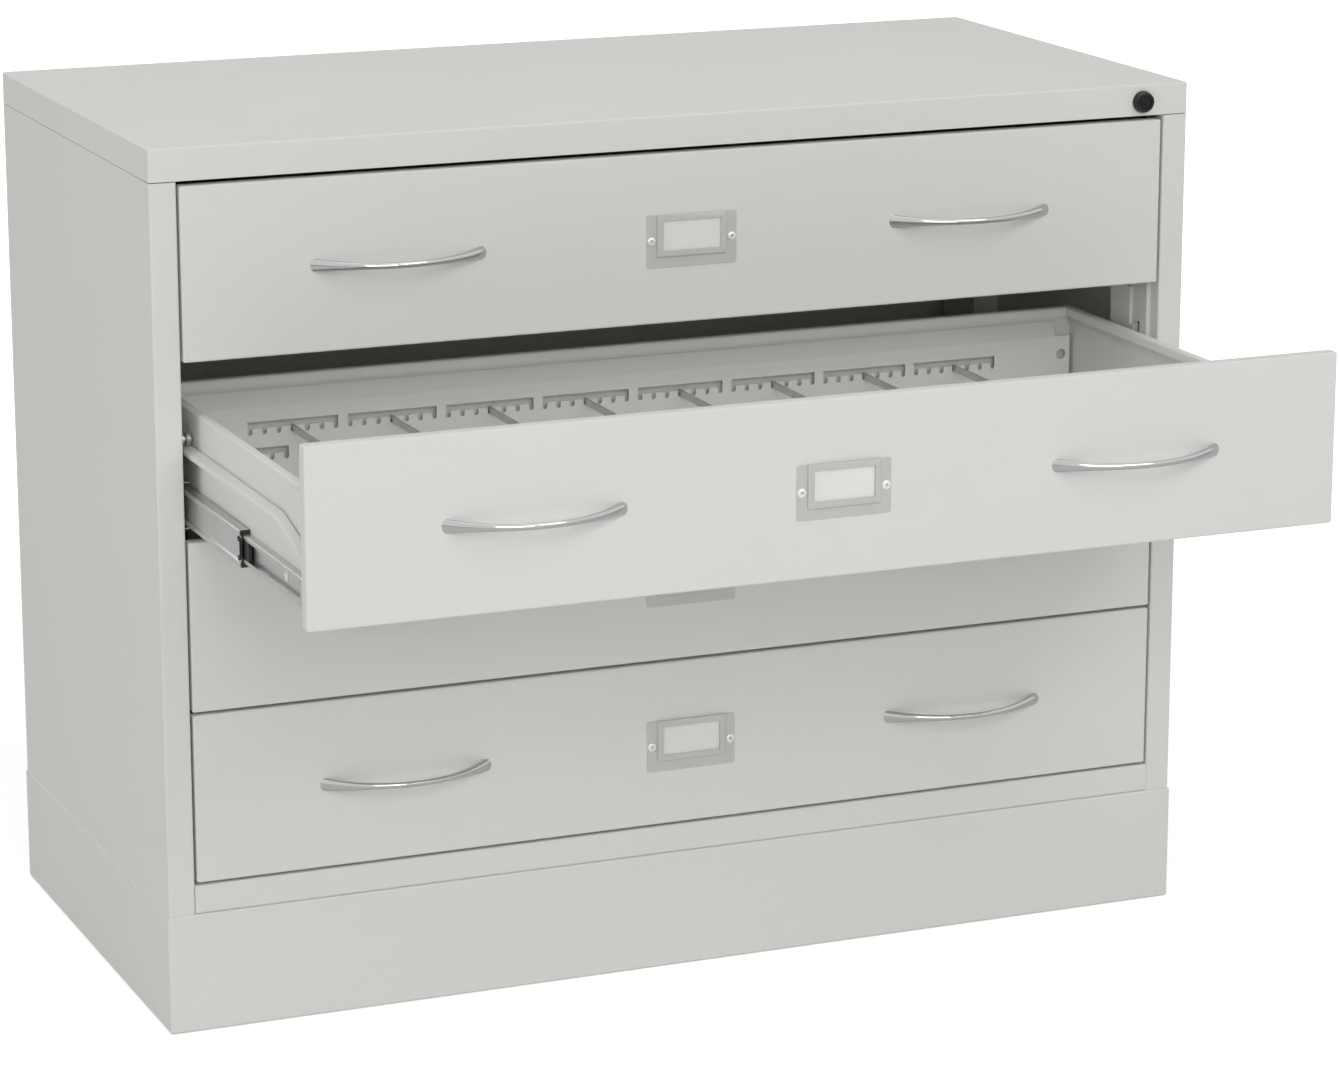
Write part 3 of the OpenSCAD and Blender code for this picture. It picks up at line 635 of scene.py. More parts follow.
LACQUER = Finish(
    "Black lacquer", Slot.BLACK_METAL, (0.006, 0.006, 0.007), (0.014, 0.014, 0.015), 0.14, 0.24,
    metallic=0.0, grain=500.0, cloud=60.0, relief=0.05, coat=0.15, sheen_level=0.35,
)
PLASTIC = Finish(
    "Black moulding", Slot.BLACK_PLASTIC, (0.012, 0.012, 0.012), (0.028, 0.028, 0.028), 0.45, 0.62,
    grain=1400.0, cloud=40.0, relief=0.25,
)
CARD = Finish(
    "Plain pale card", Slot.CARD, (0.79, 0.80, 0.76), (0.84, 0.85, 0.81), 0.75, 0.9,
    grain=1800.0, cloud=25.0, relief=0.3, depth=0.0001,
)


class Fitter:
    """Dresses pieces and ties them to the bodies that they move with."""

    @staticmethod
    def fit(obj: bpy.types.Object, body: str, finish: Finish, *nodes: str) -> None:
        """Dresses a piece, ties it to its body and lets it stand for nodes.

        Args:
            obj: The finished piece.
            body: Name of the body that it rides on.
            finish: Its finish.
            nodes: Nodes of the part that it replaces.
        """
        Bench.apply(obj, "WEIGHTED_NORMAL", keep_sharp=True, weight=50)
        obj.data.materials.clear()
        obj.data.materials.append(finish.material())
        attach(obj, body)
        if nodes:
            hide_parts(*nodes)
        log.info("%s rides on %s in %s", obj.name, body, finish.name)

    @staticmethod
    def dress(node: str, finish: Finish) -> None:
        """Gives a carried-over node its finish.

        Args:
            node: Name of the node, which keeps its mesh.
            finish: Its finish.
        """
        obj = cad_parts[node]
        obj.data.materials.clear()
        obj.data.materials.append(finish.material())
        log.info("%s keeps its shape in %s", node, finish.name)


def shift_of(drawer: int) -> Vector:
    """Returns how far a drawer's pieces lie from the first drawer's."""
    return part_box(f"drawer_{drawer}_front")[0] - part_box("drawer_1_front")[0]


@dataclass
class Carcass:
    """Cap, side panels, rail and plinth, with the sheets behind them."""

    sheet: float = 1.2 * MM
    fold: float = 2.3 * MM
    flange_w: float = 26.1 * MM
    return_d: float = 17.0 * MM
    rear_flange: float = 15.0 * MM
    plinth_sheet: float = 1.5 * MM
    plinth_flange: float = 25.0 * MM
    seam: float = 0.8 * MM
    tongue_h: float = 17.0 * MM
    tongue_gap: float = 0.3 * MM
    post_w: float = 72.0 * MM
    post_fold: float = 1.6 * MM
    window_low: float = 99.0 * MM
    window_high: float = 121.0 * MM
    window_gap: float = 2.0 * MM
    cut_before: float = 1.0 * MM
    cut_behind: float = 3.0 * MM
    pad_low: float = 52.8 * MM
    pad_under: float = 10.0 * MM
    pad_start: float = 30.0 * MM
    pad_fold: float = 1.2 * MM
    weld: float = 0.3 * MM

    def cap(self) -> bpy.types.Object:
        """Returns the top panel with its four lips."""
        low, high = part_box("top_panel")
        cap = Bench.block("top_cap", low, high)
        Bench.drop_faces(cap, lambda c, n: n.z < -MOSTLY)
        Bench.round_edges(cap, lambda c, d: c.z > low.z + CLOSE, self.fold)
        Bench.thicken(cap, self.sheet)
        return Bench.smooth(cap)

    def side(self, name: str, node: str, sign: int) -> bpy.types.Object:
        """Returns a side panel with its flanges and the tongue under the cap.

        Args:
            name: Name of the panel.
            node: Node that it stands for.
            sign: 1 for the right side, -1 for the left.

        Returns:
            The panel.
        """
        low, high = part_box(node)
        outer = high.x if sign > 0 else -low.x
        flange = outer - self.flange_w
        cap_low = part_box("top_panel")[0]
        outline = [
            (sign * flange, low.y + self.return_d),
            (sign * flange, low.y),
            (sign * outer, low.y),
            (sign * outer, high.y),
            (sign * (outer - self.rear_flange), high.y),
        ]
        skin = Bench.strip(
            name, Along.Z, low.z, cap_low.z - self.seam, outline, (-sign, 0, 0), self.fold, self.sheet
        )
        inner = outer - self.sheet
        a, b = sorted((sign * inner, sign * (inner - self.sheet)))
        tongue = Bench.block(
            name + "_tongue",
            (a, low.y + self.return_d, cap_low.z - self.tongue_h),
            (b, high.y - self.sheet - self.tongue_gap, high.z),
        )
        Bench.round_edges(tongue, lambda c, d: c.z < cap_low.z, 0.2 * MM, 2)
        return Bench.join(name, [skin, tongue])

    def rail(self) -> bpy.types.Object:
        """Returns the rail under the lowest front."""
        low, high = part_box("bottom_rail")
        outline = [(high.y, high.z), (low.y, high.z), (low.y, low.z), (high.y, low.z)]
        return Bench.strip("low_rail", Along.X, low.x, high.x, outline, (0, 0, 1), self.fold, self.sheet)

    def plinth(self) -> bpy.types.Object:
        """Returns the plinth with its turned-in flanges."""
        low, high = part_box("plinth_base")
        middle = (low + high) / 2
        plinth = Bench.block("plinth", low, high)
        Bench.pick_faces(plinth, lambda c, n: abs(n.z) > ALIGNED)
        bpy.ops.mesh.inset(thickness=self.plinth_flange, use_individual=True)
        Bench.done()

        def is_opening(c: Vector, n: Vector) -> bool:
            """Faces in the middle of the top and of the underside."""
            return abs(n.z) > ALIGNED and abs(c.x - middle.x) < CLOSE and abs(c.y - middle.y) < CLOSE

        Bench.drop_faces(plinth, is_opening)

        def is_fold(c: Vector, d: Vector) -> bool:
            """Edges of the outer faces, not those of the flanges' inner rim."""
            on_x = min(abs(c.x - low.x), abs(c.x - high.x)) < CLOSE
            on_y = min(abs(c.y - low.y), abs(c.y - high.y)) < CLOSE
            on_z = min(abs(c.z - low.z), abs(c.z - high.z)) < CLOSE
            return (on_x or on_y) and (on_z or abs(d.z) > ALIGNED)

        Bench.round_edges(plinth, is_fold, self.fold)
        Bench.thicken(plinth, self.plinth_sheet)
        return Bench.smooth(plinth)

    def post(self, name: str, low: Vector, high: Vector) -> bpy.types.Object:
        """Returns a right-hand upright, a channel that opens towards its side panel.

        Args:
            name: Name of the upright.
            low: Lowest corner of the upright.
            high: Highest corner of it.

        Returns:
            The upright.
        """
        outline = [(high.x, low.y), (low.x, low.y), (low.x, high.y), (high.x, high.y)]
        return Bench.strip(name, Along.Z, low.z, high.z, outline, (0, -1, 0), self.post_fold, self.sheet)

    def front_posts(self) -> bpy.types.Object:
        """Returns the front uprights; the right one has pads and windows for the lock bar's fingers."""
        low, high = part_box("front_posts")
        rear_low, rear_high = SlideSet.right_box("rear_posts")
        post_x = rear_low.x
        pad_x = SlideSet.right_box("front_posts")[0].x
        post_high = Vector((rear_high.x, low.y + self.post_w, rear_high.z))
        right = self.post("right_post", Vector((post_x, low.y, low.z)), post_high)
        left = Bench.copy(right, "left_post", (0, 0, 0))
        Bench.mirror(left)
        Bench.drop_faces(left, lambda c, n: c.x > 0)
        bar_low, bar_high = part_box("lock_bar")
        pads = []
        for drawer in DRAWERS:
            front, front_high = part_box(f"drawer_{drawer}_front")
            window = Bench.block(
                "window",
                (post_x - self.cut_before, bar_low.y - self.window_gap, front.z + self.window_low),
                (post_x + self.cut_behind, bar_high.y + self.window_gap, front.z + self.window_high),
            )
            Bench.cut(right, window)
            pad = Bench.block(
                "pad",
                (pad_x, low.y + self.pad_start, front.z + self.pad_low),
                (post_x + self.weld, low.y + self.post_w, front_high.z - self.pad_under),
            )
            Bench.round_edges(pad, lambda c, d: c.x < pad_x + CLOSE, self.pad_fold, 4)
            pads.append(pad)
        return Bench.smooth(Bench.join("front_upright_pair", [right, left, *pads]), 35)

    def build(self) -> None:
        """Builds and fits the carcass."""
        Fitter.fit(self.cap(), "cabinet", POWDER, "top_panel")
        for sign, word in ((-1, "left"), (1, "right")):
            panel = self.side(f"{word}_side", f"{word}_side_panel", sign)
            Fitter.fit(panel, "cabinet", POWDER, f"{word}_side_panel")
        Fitter.fit(self.rail(), "cabinet", POWDER, "bottom_rail")
        Fitter.fit(self.plinth(), "cabinet", POWDER, "plinth_base")
        Fitter.fit(self.front_posts(), "cabinet", INNER_POWDER, "front_posts")
        for node in ("back_panel", "bottom_panel", "top_rail", "rear_posts"):
            Fitter.dress(node, INNER_POWDER)


@dataclass
class LockSet:
    """Cylinder lock with its core, and the bar behind it."""

    taper: float = 3.0 * MM
    barrel_r: float = 9.4 * MM
    keyway_w: float = 1.7 * MM
    keyway_h: float = 9.4 * MM
    keyway_d: float = 6.0 * MM
    nut_r: float = 11.9 * MM
    nut_h: float = 4.0 * MM
    nut_y: float = 2.4 * MM
    nut_sides: int = 6
    plug_r: float = 6.2 * MM
    plug_end: float = 5.0 * MM
    crank_r: float = 11.0 * MM
    crank_t: float = 2.0 * MM
    crank_y: float = 7.0 * MM
    pin_r: float = 2.0 * MM
    pin_x: float = 8.0 * MM
    pin_len: float = 7.0 * MM

    def build(self) -> None:
        """Builds and fits the lock."""
        low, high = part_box("lock_housing")
        core_low, core_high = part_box("lock_core")
        face_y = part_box("top_panel")[0].y
        bezel_r = (high.z - low.z) / 2
        mid_z = (low.z + high.z) / 2
        mid_x = (core_low.x + core_high.x) / 2
        out = face_y - low.y
        base = (mid_x, face_y, mid_z)
        face_r = bezel_r - self.taper / 2
        housing = Bench.turned(
            "lock_housing_shell", base, (0, -1, 0),
            [
                (-(high.y - face_y), self.barrel_r), (-1.3 * MM, self.barrel_r),
                (-1.3 * MM, bezel_r - 0.5 * MM), (0, bezel_r),
                (out * 0.25, bezel_r), (out * 0.8, face_r + 0.5 * MM),
                (out * 0.95, face_r), (out, face_r - 0.7 * MM),
                (out, self.plug_r + 0.4 * MM), (out - 0.8 * MM, self.plug_r + 0.2 * MM),
            ],
        )
        nut = Bench.turned(
            "lock_nut", (mid_x, face_y + self.nut_y, mid_z), (0, 1, 0),
            [
                (0, self.nut_r - 0.7 * MM), (0.5 * MM, self.nut_r),
                (self.nut_h - 0.5 * MM, self.nut_r), (self.nut_h, self.nut_r - 0.7 * MM),
            ],
            self.nut_sides,
        )
        Fitter.fit(housing, "cabinet", LACQUER, "lock_housing")
        Fitter.fit(nut, "cabinet", ZINC)
        core = Bench.turned(
            "lock_core_plug", base, (0, -1, 0),
            [
                (-(core_high.y - self.plug_end - face_y), self.plug_r), (out - 1.2 * MM, self.plug_r),
                (out - 0.7 * MM, self.plug_r - 0.2 * MM), (out - 0.4 * MM, self.plug_r - 0.6 * MM),
            ],
        )
        keyway = Bench.block(
            "keyway",
            (mid_x - self.keyway_w / 2, face_y - out - 1 * MM, mid_z - self.keyway_h / 2),
            (mid_x + self.keyway_w / 2, face_y - out + self.keyway_d, mid_z + self.keyway_h / 2),
        )
        Bench.cut(core, keyway)
        disc_y = core_high.y - self.crank_y
        chamfer = 0.4 * MM
        disc = Bench.turned(
            "lock_crank", (mid_x, disc_y, mid_z), (0, 1, 0),
            [
                (0, self.crank_r - chamfer), (chamfer, self.crank_r),
                (self.crank_t - chamfer, self.crank_r), (self.crank_t, self.crank_r - chamfer),
            ],
        )
        pin = Bench.turned(
            "lock_pin", (mid_x + self.pin_x, disc_y, mid_z), (0, 1, 0),
            [(0, self.pin_r), (self.pin_len - 0.5 * MM, self.pin_r), (self.pin_len, self.pin_r - chamfer)],
            20,
        )
        Fitter.fit(Bench.join("lock_core_turned", [core, disc, pin]), "lock_turn", LACQUER, "lock_core")
        Fitter.dress("lock_bar", ZINC)


@dataclass
class Interlock:
    """Rollers on the left uprights that ride on the drawers' ledges."""

    roller_r: float = 6.2 * MM
    roller_w: float = 5.0 * MM
    rim: float = 0.7 * MM
    stud_r: float = 5.2 * MM

    def build(self) -> None:
        """Builds one roller with its stud and copies it to each drawer."""
        low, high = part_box("interlock_rollers")
        y = (low.y + high.y) / 2
        z = high.z - self.roller_r
        roller = Bench.turned(
            "roller", (high.x, y, z), (-1, 0, 0),
            [
                (0, self.roller_r - 1.6 * MM), (0, self.roller_r - self.rim), (self.rim, self.roller_r),
                (self.roller_w - self.rim, self.roller_r), (self.roller_w, self.roller_r - self.rim),
                (self.roller_w, 4.2 * MM), (4.5 * MM, 3.9 * MM), (4.5 * MM, 2.6 * MM), (5.9 * MM, 2.5 * MM),
                (6.1 * MM, 4.9 * MM), (6.5 * MM, self.stud_r), (high.x - low.x, self.stud_r),
            ],
        )
        pieces = [roller]
        for drawer in DRAWERS[1:]:
            pieces.append(Bench.copy(roller, f"roller_{drawer}", (0, 0, shift_of(drawer).z)))
        Fitter.fit(Bench.join("interlock_roller_set", pieces), "cabinet", ZINC, "interlock_rollers")


@dataclass
class SlideSet:
    """The three members of each ball bearing slide."""

    sheet: float = 1.1 * MM
    fold: float = 1.5 * MM
    curl: float = 4.2 * MM
    end_r: float = 3.0 * MM
    recess: float = 1.6 * MM
    band: float = 5.2 * MM
    slope: float = 1.2 * MM
    member_fold: float = 0.9 * MM
    fixed_h: float = 45.0 * MM
    outer_balls: tuple[Point, Point] = (
        (495.0 * MM, 185.0 * MM, 17.55 * MM), (499.6 * MM, 375.0 * MM, 21.1 * MM)
    )
    inner_balls: tuple[Point, Point] = (
        (493.4 * MM, -40.0 * MM, 13.65 * MM), (496.0 * MM, 150.0 * MM, 15.85 * MM)
    )
    end_t: float = 1.6 * MM
    arm_d: float = 3.0 * MM
    arm_in: float = 1.3 * MM
    arm_z: Point = (13.7 * MM, 17.2 * MM)
    claw_d: float = 5.0 * MM
    hook_z: Point = (6.5 * MM, 9.5 * MM)
    claw_z: Point = (9.0 * MM, 11.0 * MM)
    wall_half_h: float = 15.3 * MM
    wall_gap: float = 0.3 * MM
    wall_in: float = 2.2 * MM
    wall_d: float = 14.0 * MM
    face_half_h: float = 7.0 * MM
    face_in: float = 3.2 * MM
    face_back: float = 0.1 * MM
    # Black moulded tongue in the inner member's channel. It reaches forward of the moulding so that its dark
    # also stands for the moulding's shadow in that channel, which makes it partly real moulding and partly
    # painted shade.
    tongue_and_shade_half_h: float = 8.8 * MM
    tongue_and_shade_reach: float = 13.0 * MM
    tongue_and_shade_x: Point = (494.3 * MM, 497.4 * MM)
    moulded_edge: float = 0.25 * MM

    def inner_pair(self) -> bpy.types.Object:
        """Returns the first drawer's members, pressed channels with rolled lips and a closed front end."""
        low, high = self.right_box("drawer_1_slide_members")
        member = Bench.block("inner_member", low, high)
        Bench.round_edges(member, lambda c, d: abs(d.x) > ALIGNED and c.y < low.y + CLOSE, self.end_r, 5)
        Bench.pick_faces(member, lambda c, n: n.x > MOSTLY)
        bpy.ops.mesh.inset(thickness=self.curl, use_boundary=True)
        bpy.ops.mesh.delete(type="FACE")
        Bench.done()
        Bench.drop_faces(member, lambda c, n: n.y > MOSTLY or (n.x > MOSTLY and c.y > high.y - self.curl))

        def is_fold(c: Vector, d: Vector) -> bool:
            """Edges between the walls and the web or the rolled lips."""
            on_side = min(abs(c.x - low.x), abs(c.x - high.x)) < CLOSE
            rim = min(high.z - c.z, c.z - low.z, c.y - low.y)
            return on_side and rim < self.member_fold + 0.05 * MM and c.y < high.y - CLOSE

        Bench.round_edges(member, is_fold, self.member_fold, 3)
        Bench.thicken(member, self.sheet)
        Bench.mirror(member)
        return Bench.smooth(member, 35)

    def middle_pair(self) -> bpy.types.Object:
        """Returns the middle members of the first drawer, whose webs are set in between two ball tracks."""
        low, high = self.right_box("drawer_1_middle_members")
        web, lip, inset = high.x, low.x, high.x - self.recess
        outline = [
            (lip, high.z), (web, high.z),
            (web, high.z - self.band), (inset, high.z - self.band - self.slope),
            (inset, low.z + self.band + self.slope), (web, low.z + self.band),
            (web, low.z), (lip, low.z),
        ]
        member = Bench.strip(
            "middle_member", Along.Y, low.y, high.y, outline, (0, 0, 1), self.fold, self.sheet,
            tight=(2, 3, 4, 5),
        )
        Bench.mirror(member)
        return Bench.smooth(member, 35)

    def mouldings(self) -> bpy.types.Object:
        """Returns the ball retainers of the first drawer's slides and the mouldings at their front ends,
        whose tongue also stands in for shade in the inner channel.
        """
        low, high = self.right_box("drawer_1_ball_retainers")
        web = self.right_box("drawer_1_middle_members")[1].x
        inner = self.right_box("drawer_1_slide_members")[1].x
        z = (low.z + high.z) / 2
        front = low.y
        end = front + self.end_t
        hook_x, arm_end, claw_end = web - self.recess, end + self.arm_d, end + self.claw_d
        twins = (
            ("outer_retainer", *self.outer_balls),
            ("inner_retainer", *self.inner_balls),
            ("end_arm", (low.x, front, self.arm_z[0]), (web - self.arm_in, arm_end, self.arm_z[1])),
            ("end_hook", (hook_x, front, self.hook_z[0]), (web, claw_end, self.hook_z[1])),
            ("end_claw", (hook_x, arm_end, self.claw_z[0]), (web, claw_end, self.claw_z[1])),
        )
        singles = (
            (
                "end_wall",
                (inner + self.wall_gap, front, -self.wall_half_h),
                (web - self.wall_in, end + self.wall_d, self.wall_half_h),
            ),
            (
                "end_face",
                (web - self.face_in, front, -self.face_half_h),
                (web, end - self.face_back, self.face_half_h),
            ),
            # The tongue is partly real moulding and partly painted shade in the inner channel.
            (
                "end_tongue_and_painted_shade",
                (self.tongue_and_shade_x[0], front - self.tongue_and_shade_reach, -self.tongue_and_shade_half_h),
                (self.tongue_and_shade_x[1], end, self.tongue_and_shade_half_h),
            ),
        )
        parts = [self.slab(name, first, last, z, up) for up in (-1, 1) for name, first, last in twins]
        parts += [self.slab(name, first, last, z, 1) for name, first, last in singles]
        whole = Bench.join("end_mouldings", parts)
        Bench.mirror(whole)
        return Bench.smooth(whole, 35)

    def slab(self, name: str, low: Point, high: Point, z: float, up: int) -> bpy.types.Object:
        """Adds a moulded block with rounded edges.

        Args:
            name: Name of the block.
            low: Lowest corner, its height measured from the slide's middle.
            high: Highest corner, measured in the same way.
            z: Height of the slide's middle.
            up: 1 to keep it above the middle, -1 to turn it below.

        Returns:
            The block.
        """
        zs = sorted((z + up * low[2], z + up * high[2]))
        slab = Bench.block(name, (low[0], low[1], zs[0]), (high[0], high[1], zs[1]))
        Bench.round_edges(slab, lambda c, d: True, self.moulded_edge, 2)
        return slab

    @staticmethod
    def right_box(node: str) -> tuple[Vector, Vector]:
        """Finds the box of the right-hand half of a node.

        Args:
            node: Name of the node.

        Returns:
            Its lowest and its highest corner.
        """
        points = [v.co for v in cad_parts[node].data.vertices if v.co.x > 0]
        low = Vector([min(p[k] for p in points) for k in range(3)])
        high = Vector([max(p[k] for p in points) for k in range(3)])
        return low, high

    def build(self) -> None:
        """Builds the slides of the first drawer and copies them to the others."""
        fixed = []
        low, high = self.right_box("cabinet_slides")
        foot = high.z - self.fixed_h
        outline = [(low.x, high.z), (high.x, high.z), (high.x, foot), (low.x, foot)]
        first = Bench.strip(
            "fixed_member", Along.Y, low.y, high.y, outline, (0, 0, 1), self.fold, self.sheet
        )
        Bench.mirror(first)
        for drawer in DRAWERS:
            fixed.append(Bench.copy(first, f"fixed_member_{drawer}", (0, 0, shift_of(drawer).z)))
        bpy.data.objects.remove(first)
        Fitter.fit(Bench.smooth(Bench.join("fixed_members", fixed)), "cabinet", ZINC, "cabinet_slides")
        inner, middle, moulding = self.inner_pair(), self.middle_pair(), self.mouldings()
        for drawer in DRAWERS:
            shift = shift_of(drawer)
            half = Vector((0, shift.y / 2, shift.z))
            new_inner = Bench.copy(inner, f"drawer_{drawer}_slide_inner", shift)
            new_middle = Bench.copy(middle, f"drawer_{drawer}_slide_middle", half)
            Fitter.fit(new_inner, f"drawer_{drawer}", ZINC, f"drawer_{drawer}_slide_members")
            new_ends = Bench.copy(moulding, f"drawer_{drawer}_retainer_set", half)
            Fitter.fit(new_middle, f"middle_{drawer}", ZINC, f"drawer_{drawer}_middle_members")
            Fitter.fit(new_ends, f"middle_{drawer}", PLASTIC, f"drawer_{drawer}_ball_retainers")
        for pattern in (inner, middle, moulding):
            bpy.data.objects.remove(pattern)


@dataclass
class DrawerFront:
    """Folded front pan."""

    sheet: float = 1.0 * MM
    fold: float = 2.2 * MM

    def build(self) -> bpy.types.Object:
        """Returns the front of the first drawer."""
        low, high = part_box("drawer_1_front")
        pan = Bench.block("front_pan", low, high)
        Bench.drop_faces(pan, lambda c, n: n.y > MOSTLY)
        Bench.round_edges(pan, lambda c, d: c.y < high.y - CLOSE, self.fold)
        Bench.thicken(pan, self.sheet)
        return Bench.smooth(pan)


@dataclass
class DrawerBox:
    """Welded drawer body with rolled rims, side ledge, ears and latch lug."""

    sheet: float = 1.0 * MM
    half_w: float = BOX_HALF
    base: float = 8.0 * MM
    height: float = 108.0 * MM
    front_height: float = 128.0 * MM
    rim_w: float = 9.5 * MM
    rim_lip: float = 9.3 * MM
    rim_fold: float = 2.4 * MM
    ledge_z: float = 83.5 * MM
    ledge_w: float = 10.0 * MM
    ledge_fall: float = 3.0 * MM
    ledge_lip: float = 4.5 * MM
    ledge_level: float = 106.0 * MM
    ledge_start: float = 20.0 * MM
    ledge_drop: float = 21.0 * MM
    ear_z: float = 97.0 * MM
    ear_top: float = 4.5 * MM
    ear_reach: float = 96.0 * MM
    ear_r: float = 6.0 * MM
    step_z: float = 79.4 * MM
    step_reach: float = 82.0 * MM
    step_in: float = 0.35 * MM
    step_lap: float = 4.0 * MM
    corner_in: float = 0.15 * MM
    rim_gap: float = 0.3 * MM
    groove: float = 1.3 * MM
    groove_d: float = 2.0 * MM
    ledge_end: float = 60.0 * MM
    ledge_lead: float = 8.0 * MM
    ledge_fold: float = 1.4 * MM
    bend_len: float = 16.0 * MM
    bends: int = 6
    sunk: float = 0.1 * MM
    lug_y: float = 39.0 * MM
    lug_z: float = 96.0 * MM
    lug_h: float = 10.0 * MM
    lug_out: float = 7.5 * MM
    lug_t: float = 3.0 * MM
    lug_r: float = 0.8 * MM

    def ledge(self, front: Vector) -> bpy.types.Object:
        """Returns the side ledge, drawn forwards along its falling path.

        Args:
            front: Lowest corner of the drawer's front.

        Returns:
            The ledge as a folded sheet.
        """
        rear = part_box("drawer_1_box")[1].y - self.ledge_end
        top = front.z + self.ledge_z
        x0 = -self.half_w - self.groove
        path = [(front.y + self.ledge_level + self.ledge_lead, 0.0)]
        straight = self.ledge_level - self.ledge_start - self.bend_len / 2
        slope = self.ledge_drop / straight
        for k in range(self.bends + 1):
            t = k / self.bends
            path.append((front.y + self.ledge_level - t * self.bend_len, slope * self.bend_len * t * t / 2))
        path.append((front.y + self.ledge_start, self.ledge_drop))
        outer_x = -self.half_w - self.ledge_w
        Bench.clear()
        bpy.ops.mesh.primitive_plane_add(size=1.0, location=(0, 0, 0))
        obj = Bench.named("ledge")
        bpy.ops.object.mode_set(mode="EDIT")
        mesh = bmesh.from_edit_mesh(obj.data)
        for vert in mesh.verts:
            inner = vert.co.x > 0
            y = rear if vert.co.y > 0 else path[0][0]
            vert.co = (x0, y, top) if inner else (outer_x, y, top - self.ledge_fall)
        mesh.normal_update()
        if list(mesh.faces)[0].normal.z < 0:
            bmesh.ops.reverse_faces(mesh, faces=mesh.faces)
        bmesh.update_edit_mesh(obj.data)
        Bench.pick_edges(obj, lambda c, d: abs(c.x - outer_x) < CLOSE)
        bpy.ops.mesh.extrude_region_move(TRANSFORM_OT_translate={"value": (0, 0, -self.ledge_lip)})
        Bench.pick_edges(obj, lambda c, d: abs(c.x - x0) < CLOSE and abs(d.y) > ALIGNED)
        bpy.ops.mesh.extrude_region_move(TRANSFORM_OT_translate={"value": (0, 0, -self.groove_d)})
        bpy.ops.mesh.extrude_region_move(TRANSFORM_OT_translate={"value": (self.groove, 0, 0)})
        Bench.pick_edges(obj, lambda c, d: abs(c.y - path[0][0]) < CLOSE)
        for (y0, fall0), (y1, fall1) in zip(path, path[1:]):
            bpy.ops.mesh.extrude_region_move(TRANSFORM_OT_translate={"value": (0, y1 - y0, fall0 - fall1)})
        Bench.done()

        def is_fold(c: Vector, d: Vector) -> bool:
            """Lengthwise edges between the ledge and its lip."""
            depth = 0.0
            for (y0, fall0), (y1, fall1) in zip(path, path[1:]):
                if y1 <= c.y <= y0:
                    depth = fall0 + (fall1 - fall0) * (c.y - y0) / (y1 - y0)
                    break
            on_path = abs(c.z - (top - self.ledge_fall - depth)) < 0.1 * MM
            return abs(c.x - outer_x) < CLOSE and abs(d.y) > MOSTLY and on_path

        Bench.round_edges(obj, is_fold, self.ledge_fold, 3)
        Bench.thicken(obj, self.sheet)
        Bench.outward(obj)
        return Bench.smooth(obj, 30)

    def ear(self, front: Vector, wall_y: float) -> bpy.types.Object:
        """Returns the right ear, a plate with one rounded corner, and its left twin.

        Args:
            front: Lowest corner of the drawer's front.
            wall_y: Where the box begins behind the front.

        Returns:
            Both ears, each with a step below it.
        """
        top = front.z + self.base + self.height - self.ear_top
        ear = Bench.block(
            "ear",
            (self.half_w - self.sunk, wall_y, front.z + self.ear_z),
            (self.half_w + self.sheet, front.y + self.ear_reach, top),
        )
        rear = front.y + self.ear_reach
        foot = front.z + self.ear_z
        ear_x = self.half_w + self.sheet
        step_x = ear_x - self.step_in

        def is_corner(c: Vector, d: Vector) -> bool:
            """The ear's lower rear corner."""
            return abs(d.x) > ALIGNED and abs(c.y - rear) < CLOSE and abs(c.z - foot) < CLOSE

        Bench.round_edges(ear, is_corner, self.ear_r, 6)
        Bench.round_edges(ear, lambda c, d: c.x > ear_x - CLOSE, 0.35 * MM, 2)
        step = Bench.block(
            "ear_step",
            (self.half_w - self.sunk, wall_y, front.z + self.step_z),
            (step_x, front.y + self.step_reach, foot + self.step_lap),
        )
        Bench.round_edges(step, lambda c, d: c.x > step_x - CLOSE, 0.3 * MM, 2)
        ear = Bench.join("ear", [ear, step])
        Bench.mirror(ear)
        return Bench.smooth(ear, 30)

    def build(self) -> bpy.types.Object:
        """Returns the box of the first drawer."""
        front, front_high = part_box("drawer_1_front")
        wall_y = front_high.y
        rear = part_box("drawer_1_box")[1].y
        base, top = front.z + self.base, front.z + self.base + self.height
        half, s = self.half_w, self.sheet
        side = Bench.strip(
            "box_side", Along.Y, wall_y, rear,
            [(half, base), (half, top), (half - self.rim_w, top), (half - self.rim_w, top - self.rim_lip)],
            (1, 0, 0), self.rim_fold, s, 5,
        )
        Bench.mirror(side)
        rim_x = half - self.rim_w - self.rim_gap
        back = Bench.strip(
            "box_back", Along.X, -rim_x, rim_x,
            [(rear, base), (rear, top), (rear - self.rim_w, top), (rear - self.rim_w, top - self.rim_lip)],
            (0, 1, 0), self.rim_fold, s, 5,
        )
        corners = Bench.block(
            "box_corner",
            (rim_x - 1 * MM, rear - s + self.corner_in, base + self.corner_in),
            (half - s, rear - self.corner_in, top - s),
        )
        Bench.round_edges(corners, lambda c, d: c.z > top - s - CLOSE, 0.3 * MM, 2)
        Bench.mirror(corners)
        floor = Bench.block("box_floor", (-half + s, wall_y, base), (half - s, rear - s, base + s))
        Bench.round_edges(floor, lambda c, d: c.z < base + CLOSE and abs(d.x) > ALIGNED, 0.5 * MM, 2)
        wall_top = base + self.front_height
        wall = Bench.block("box_front_wall", (-half, wall_y, base), (half, wall_y + s, wall_top))
        Bench.round_edges(wall, lambda c, d: c.z > wall_top - CLOSE and abs(d.x) > ALIGNED, 0.4 * MM, 2)
        lug_y, lug_z = front.y + self.lug_y, front.z + self.lug_z
